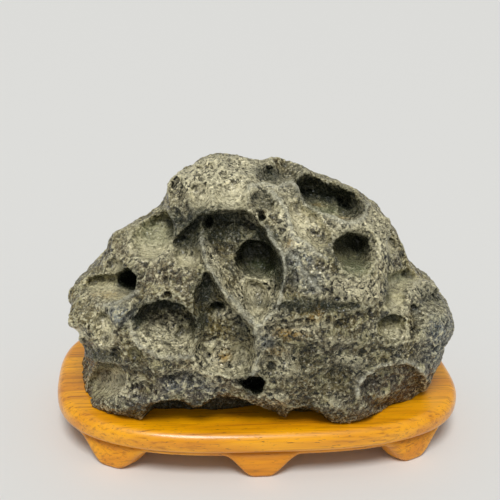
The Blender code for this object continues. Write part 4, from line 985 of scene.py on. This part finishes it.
# %% The rock's colours and layers
LIMESTONE = {
    "ground": "#53482e", "warm": "#80713f", "cold": "#4f554c", "cleft_and_painted_shade": "#0f0f09", "pale_fleck_and_glint": "#fdf1c4",
    "polished": "#c0b786", "painted_shade": "#20281b", "edge": "#e0d8b0", "earth": "#45332a", "painted_shadow_patch": "#262c20",
    "calcite_and_painted_light": "#e6ddb8", "iron": "#bd8d18", "slate": "#7f8b91", "umber": "#4e3f31",
    "verdigris": "#445c30", "ridge_highlight": "#d3d0b8",
}
ROUGH_STONE = (("polish", 0, 1, 1, 0.6),)
GRAIN_OF_PALE, GRAIN_OF_PATCHES = ("calcite_and_painted_light", 0, 0.8, 0.12, 0.8), ("patchy", 0.5, 0.62, 0, 0.6)
LIMESTONE_LAYERS = (
    ("warm", ("broad", 0.38, 0.62)),
    ("cold", ("broad", 0.44, 0.3, 0, 0.8)),
    ("umber", ("umber",), ("patchy", 0.3, 0.6, 0.7, 1)),
    ("polished", ("blobs", 0.57, 0.65, 0, 0.75), ("rough",)),
    ("slate", ("slate",), ("fine", 0.2, 0.7, 1, 0.6)),
    # painted shade on the faces that look down
    ("painted_shade", ("upward", 0.42, 0.1, 0, 0.8), ("fine", 0.8, 0.3, 0.5, 1)),
    # painted shade where few of the rays leave the rock
    ("painted_shade", ("openness", 0.6, 0.2, 0, 0.8), ("fine", 0.8, 0.3, 0.6, 1)),
    ("polished", ("polish", 0.2, 0.9, 0, 0.9), ("wrinkled", 0.3, 0.6, 0.55, 1)),
    # calcite, and painted light on the lit floors and rims
    ("calcite_and_painted_light", ("calcite_and_painted_light", 0, 0.8), ("wrinkled", 0.3, 0.52, 0.35, 1)),
    # pale flecks of the stone, and painted glints
    ("pale_fleck_and_glint", ("fleck", 0.52, 0.575), ("grainy",)),
    ("edge", ("veined",), ("patchy", 0.45, 0.6, 0, 0.8)),
    # dark clefts of the grain, and painted shade between the flecks
    ("cleft_and_painted_shade", ("wrinkled", 0.46, 0.4), ("rough",), ("grainy", 0, 0.8, 0.75, 1)),
    ("cleft_and_painted_shade", ("cracked",), ("rough",), ("patchy", 0.6, 0.4)),
    ("verdigris", ("verdigris",), ("fine", 0.2, 0.7, 1, 0.7)),
    ("iron", ("iron",), ("wrinkled", 0.35, 0.55)),
    # painted shade in the creases
    ("cleft_and_painted_shade", ("fine_edge", 0.42, 0.2), ("fine", 0.6, 0.3, 0.5, 1)),
    # painted highlight on the small edges
    ("edge", ("fine_edge", 0.6, 0.9), ("fine", 0.3, 0.55)),
    # lighter on the faces that look up: painted light from above, and pale dust
    ("edge", ("upward", 0.78, 1), ("fine", 0.3, 0.65, 0, 0.45)),
    # more painted shade where the rock is closed in, less of it on the pale patches
    ("painted_shade", ("openness", 0.4, 0.1, 0, 0.7), ("calcite_and_painted_light", 0.2, 1, 1, 0.3)),
    ("earth", ("height", EARTH_FADES, EARTH_FULL), ("broad", 0.42, 0.6), ("fine", 0.7, 0.45)),
    # painted shade: the dark patches where shade falls
    ("painted_shadow_patch", ("painted_shadow_patch", 0, 0.75, 0, 0.92), ("fine", 0.75, 0.4, 0.6, 1)),
    # painted highlight along the sharp ridges
    ("ridge_highlight", ("ridge_highlight",), ("fine", 0.35, 0.55, 0.2, 1)),
)
LIMESTONE_RELIEF = (("swollen", 3.0), ("beaded", 1.5), ("uncracked", 0.3))  # how far each stands out, in mm
WAX_SHEEN = ("fine", 0.35, 0.65, 0.1, 0.32)  # the roughness, which wax rubbed on by hand leaves uneven
LIMESTONE_IOR = 1.48  # of the wax and of calcite alike


# %% The rock's finish
def waxed_limestone():
    """Limestone worn by water, waxed and buffed: dark, mottled, glinting on what swells, and with painted
    light and shade in its colour.
    """
    material = new_material("waxed_limestone")
    place_on = add(material, "ShaderNodeTexCoord").outputs["Object"]
    patterns = {"height": add(material, "ShaderNodeSeparateXYZ", {"Vector": place_on}).outputs["Z"]}
    for name in MEASURES:
        patterns[name] = add(material, "ShaderNodeAttribute", attribute_name=name).outputs["Fac"]
    for name, (size, detail, roughness, distortion) in CLOUDS.items():
        sockets = {
            "Vector": place_on, "Scale": 1 / (size * MM), "Detail": detail, "Roughness": roughness,
            "Distortion": distortion,
        }
        patterns[name] = add(material, "ShaderNodeTexNoise", sockets).outputs["Fac"]
    for name, width in LINES.items():
        sockets = {0: patterns[name], 1: HALF_WAY}
        shift = add(material, "ShaderNodeMath", sockets, operation="SUBTRACT").outputs[0]
        patterns[name] = add(material, "ShaderNodeMath", {0: shift}, operation="ABSOLUTE").outputs[0]
        patterns[name] = product_of(material, patterns, (name, 0, width, 1, 0))
    patterns["uncracked"] = product_of(material, patterns, ("cracked", 0, 1, 1, 0))
    patterns["rough"] = product_of(material, patterns, *ROUGH_STONE)
    sockets = {
        0: product_of(material, patterns, GRAIN_OF_PALE),
        1: product_of(material, patterns, GRAIN_OF_PATCHES),
    }
    patterns["grain"] = add(material, "ShaderNodeMath", sockets, operation="ADD").outputs[0]
    patterns["grainy"] = product_of(material, patterns, ("rough",), ("grain",))

    normal = {}
    for name, rise in LIMESTONE_RELIEF:
        raised = product_of(material, patterns, (name,), ("rough",))
        sockets = {"Height": raised, "Distance": rise * MM, **normal}
        normal = {"Normal": add(material, "ShaderNodeBump", sockets).outputs[0]}
    shader = add(material, "ShaderNodeBsdfPrincipled", {
        "Base Color": layered(material, patterns, LIMESTONE, LIMESTONE_LAYERS),
        "Roughness": product_of(material, patterns, WAX_SHEEN), "IOR": LIMESTONE_IOR, **normal,
    })
    add(material, "ShaderNodeOutputMaterial", {"Surface": shader.outputs[0]})
    print(f"the rock's colour has {len(LIMESTONE_LAYERS)} layers, made of {len(patterns)} patterns")
    return material


rock.data.materials.clear()
rock.data.materials.append(waxed_limestone())
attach(rock, "root")
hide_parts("rock")

# %% [markdown]
# ## The oval board
#
# The board is a slab sawn to an oval with square shoulders, halfway between an ellipse and a rectangle:
# the curve |x/a|^n + |y/b|^n = 1. Its top edge is worked to a full round, and its lower edge is eased. A
# scaled cylinder would give a plain ellipse. So a loop of points on the curve becomes one face, which is
# extruded upwards and then bevelled.

# %% The stand's sizes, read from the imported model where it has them
OVAL_POWER = 2.85  # 2 is an ellipse; more squares its shoulders
OVAL_STEPS = 20  # how many fine steps are walked for each point that is kept
BOARD_TOP_ROUND, BOARD_TOP_SEGMENTS = 6.0, 10
BOARD_UNDER_ROUND, BOARD_UNDER_SEGMENTS = 3.5, 6
BOARD_POINTS = 240
SHARP_ANGLE = 1.0  # radians: only the slab's square edges turn by more
board_low, board_high = (corner / MM for corner in map(np.array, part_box("stand_board")))
apron_low, apron_high = (corner / MM for corner in map(np.array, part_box("stand_apron")))


def oval(length, depth, count):
    """Points along the oval, evenly spaced, and the way round it."""
    turn = np.linspace(0, 2 * math.pi, OVAL_STEPS * count + 1)
    power = 2 / OVAL_POWER
    x = length / 2 * np.sign(np.cos(turn)) * np.abs(np.cos(turn)) ** power
    y = depth / 2 * np.sign(np.sin(turn)) * np.abs(np.sin(turn)) ** power
    walked = np.concatenate([[0], np.cumsum(np.hypot(np.diff(x), np.diff(y)))])
    stops = np.linspace(0, walked[-1], count, endpoint=False)
    return np.stack([np.interp(stops, walked, x), np.interp(stops, walked, y)], 1), walked[-1]


def loop_of(form, outline, z):
    """A closed loop of edges at this height, or at each point's own height, in mm."""
    heights = np.broadcast_to(z, len(outline))
    verts = [form.verts.new((x * MM, y * MM, h * MM)) for (x, y), h in zip(outline, heights)]
    return [form.edges.new((a, b)) for a, b in zip(verts, verts[1:] + verts[:1])]


def bevel(form, edges, radius, segments):
    bmesh.ops.bevel(
        form, geom=edges, offset=radius * MM, segments=segments, profile=0.5, affect="EDGES",
        clamp_overlap=False, material=-1)


# %% The board
form = bmesh.new()
outline, _ = oval(board_high[0] - board_low[0], board_high[1] - board_low[1], BOARD_POINTS)
face = bmesh.ops.contextual_create(form, geom=loop_of(form, outline, board_low[2]))["faces"][0]
raised = bmesh.ops.extrude_face_region(form, geom=[face])["geom"]
top = [v for v in raised if isinstance(v, bmesh.types.BMVert)]
bmesh.ops.translate(form, verts=top, vec=(0, 0, (board_high[2] - board_low[2]) * MM))
bmesh.ops.recalc_face_normals(form, faces=form.faces[:])
middle = (board_low[2] + board_high[2]) / 2 * MM
for above, radius, segments in (
    (True, BOARD_TOP_ROUND, BOARD_TOP_SEGMENTS),
    (False, BOARD_UNDER_ROUND, BOARD_UNDER_SEGMENTS),
):
    level = [e for e in form.edges if all((v.co.z > middle) == above for v in e.verts)]
    bevel(form, [e for e in level if abs(e.calc_face_angle(0)) > SHARP_ANGLE], radius, segments)
board = piece_from(form, "oval_board")
print(f"the board has {len(board.data.polygons)} faces")

# %% [markdown]
# ## The footed apron
#
# Under the board runs a narrow ring whose lower edge is sawn to six bracket feet: flat where it stands,
# then an S-curve up to a level stretch. Saw cuts would be booleans with six curved cutters. Four loops of
# points bridged to each other do the same, because only the height of the lower loops has to follow the
# feet.

# %% The apron's sizes, and its sawn lower edge
APRON_WIDTH = 11.0
APRON_DROP = 3.0  # how far the apron shows below the board between two feet
FOOT_CENTRES = ((-89, -58), (-6, -73), (85, -60), (89, 58), (0, 73), (-89, 58))  # near the apron's face
FOOT_HALF_WIDTH = 4.0  # of the flat that stands on the floor
FOOT_SWEEP = 18.0  # along the apron, from the foot's flat to the level stretch
APRON_POINTS = 480
EASED, EASED_SEGMENTS = 2.0, 3  # the radius to which the sawn edges are eased


def foot_heights(outline, around):
    """The apron's lower edge: flat under each foot, then an S-curve up to the level stretch."""
    step = around / len(outline)
    reach = np.full(len(outline), np.inf)
    for centre in FOOT_CENTRES:
        nearest = np.argmin(((outline - centre) ** 2).sum(1))
        steps = np.abs(np.arange(len(outline)) - nearest)
        reach = np.minimum(reach, step * np.minimum(steps, len(outline) - steps))
    rise = np.clip((reach - FOOT_HALF_WIDTH) / FOOT_SWEEP, 0, 1)
    return (board_low[2] - APRON_DROP) * rise**2 * (3 - 2 * rise)


# %% The apron
form = bmesh.new()
outer, around = oval(*(apron_high - apron_low)[:2], APRON_POINTS)
inner = outer * (1 - APRON_WIDTH / np.linalg.norm(outer, axis=1)[:, None])
low = foot_heights(outer, around)
loops = [
    loop_of(form, outer, apron_high[2]), loop_of(form, outer, low),
    loop_of(form, inner, low), loop_of(form, inner, apron_high[2])]
for first, second in zip(loops, loops[1:] + loops[:1]):
    bmesh.ops.bridge_loops(form, edges=first + second)
bmesh.ops.recalc_face_normals(form, faces=form.faces[:])
bevel(form, [e for e in loops[1] + loops[2] if e.is_valid], EASED, EASED_SEGMENTS)
apron = piece_from(form, "footed_apron")
print(f"the apron has {len(apron.data.polygons)} faces")

# %% [markdown]
# ## Varnished rosewood
#
# The stand is a yellow rosewood under clear varnish. Its grain runs along the board: broad bands of
# yellow and orange, finer streaks, and short dark pores like pen strokes. Each is noise that is drawn out
# along X. The varnish is a clear coat over the wood, and it rounds off the pores until they hardly catch
# the light. The apron's sawn faces got less varnish than the board, and were rubbed down.

# %% The wood's finish
# Each pattern's size across the grain in mm, how many times longer it is along it, and its detail. Real
# pores are about 0.15 mm wide, and would be lost.
WOOD_GRAIN = {"bands": (11.0, 9.0, 3), "streaks": (1.6, 26.0, 4), "pores": (0.5, 9.0, 2)}
GRAIN_WAVER = 0.4  # how far the grain wanders from a straight line
ROSEWOOD = {"yellow": "#f9ab00", "orange": "#de8c08", "streak": "#a05a0a", "pore": "#5e3208"}
ROSEWOOD_LAYERS = (
    ("orange", ("bands", 0.4, 0.65)), ("streak", ("streaks", 0.5, 0.8)), ("pore", ("pores", 0.64, 0.74)))
PORE_RELIEF, PORE_DEPTH = ("pores", 0.74, 0.64), 0.05
ROSEWOOD_IOR, VARNISH_ROUGHNESS = 1.5, 0.12


def varnished_rosewood(name, coat, roughness):
    """Rosewood planed along its grain and varnished: gold, streaked, with a soft gloss."""
    material = new_material(name)
    place_on = add(material, "ShaderNodeTexCoord").outputs["Object"]
    patterns = {}
    for pattern, (size, draw, detail) in WOOD_GRAIN.items():
        drawn_out = add(material, "ShaderNodeMapping", {"Vector": place_on, "Scale": (1 / draw, 1, 1)})
        sockets = {
            "Vector": drawn_out.outputs[0], "Scale": 1 / (size * MM), "Detail": detail,
            "Distortion": GRAIN_WAVER,
        }
        patterns[pattern] = add(material, "ShaderNodeTexNoise", sockets).outputs["Fac"]
    sockets = {"Height": product_of(material, patterns, PORE_RELIEF), "Distance": PORE_DEPTH * MM}
    shader = add(material, "ShaderNodeBsdfPrincipled", {
        "Base Color": layered(material, patterns, ROSEWOOD, ROSEWOOD_LAYERS), "Roughness": roughness,
        "Normal": add(material, "ShaderNodeBump", sockets).outputs[0], "IOR": ROSEWOOD_IOR,
        "Coat Weight": coat, "Coat Roughness": VARNISH_ROUGHNESS,
    })
    add(material, "ShaderNodeOutputMaterial", {"Surface": shader.outputs[0]})
    print(f"{name}: {len(ROSEWOOD_LAYERS)} layers over {ROSEWOOD['yellow']}")
    return material


board.data.materials.append(varnished_rosewood("varnished_rosewood", coat=0.4, roughness=0.35))
apron.data.materials.append(varnished_rosewood("rubbed_rosewood", coat=0.2, roughness=0.45))
for piece, node in ((board, "stand_board"), (apron, "stand_apron")):
    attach(piece, "root")
    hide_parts(node)

# %% [markdown]
# ## Floor, light and camera
#
# The floor is a plain sheet, large enough to fill the view. One wide lamp overhead and a little in front
# gives soft shadows and leaves the undercut hollows dark, and the pale surroundings fill the rest. A sun
# lamp with a wide angle is chosen over an area lamp, because its light is as strong on the board as on
# the crest. The camera is close and looks down at the front, from a little to the left.

# %% The floor and the lamps
FLOOR_SIZE = 40.0  # metres
FLOOR_COLOUR, FLOOR_ROUGHNESS = "#e0dfdb", 0.8
ROOM_COLOUR, ROOM_STRENGTH = "#e6e8ea", 0.50

form = bmesh.new()
bmesh.ops.create_grid(form, x_segments=1, y_segments=1, size=FLOOR_SIZE / 2)
floor = piece_from(form, "floor")
paper = new_material("matt_paper")
shader = add(paper, "ShaderNodeBsdfPrincipled", {
    "Base Color": linear(FLOOR_COLOUR), "Roughness": FLOOR_ROUGHNESS})
add(paper, "ShaderNodeOutputMaterial", {"Surface": shader.outputs[0]})
floor.data.materials.append(paper)

scene = bpy.context.scene
scene.view_settings.view_transform = "Standard"
world = bpy.data.worlds.new("pale_room")
world.use_nodes = True
background = world.node_tree.nodes["Background"]
background.inputs["Color"].default_value = linear(ROOM_COLOUR)
background.inputs["Strength"].default_value = ROOM_STRENGTH
scene.world = world


def wide_lamp(name, turn, height, spread, strength):
    """A lamp so large and far that its light is even.

    It stands at this turn and height and looks this wide, all in degrees, and its strength is in W/m2.
    """
    light = bpy.data.lights.new(name, "SUN")
    light.angle = math.radians(spread)
    light.energy = strength
    made = bpy.data.objects.new(name, light)
    made.rotation_euler = Vector(facing(turn, height)[2]).to_track_quat("Z", "Y").to_euler()
    scene.collection.objects.link(made)


wide_lamp("overhead", turn=-12, height=62, spread=22, strength=2.1)
print(f"the floor is {FLOOR_SIZE:.0f} m across, under one lamp")

# %% The camera
CAMERA_TURN, CAMERA_TILT, CAMERA_ROLL = -7.35, 22.0, 2.54  # degrees
CAMERA_DISTANCE = 523.0
CAMERA_AIM = (-7.9, 0.0, 105.8)
LENS = 64.8  # mm, for a sensor 36 mm wide
NEAREST_SEEN = 0.01  # metres

back = Vector(facing(CAMERA_TURN, CAMERA_TILT)[2])
aim = back.to_track_quat("Z", "Y").to_matrix() @ Matrix.Rotation(math.radians(CAMERA_ROLL), 3, "Z")
camera = bpy.data.cameras.new("camera")
camera.lens = LENS
camera.clip_start = NEAREST_SEEN
viewer = bpy.data.objects.new("camera", camera)
viewer.location = (Vector(CAMERA_AIM) + CAMERA_DISTANCE * back) * MM
viewer.rotation_euler = aim.to_euler()
scene.collection.objects.link(viewer)
scene.camera = viewer
print(f"the camera is {CAMERA_DISTANCE:.0f} mm from what it aims at")
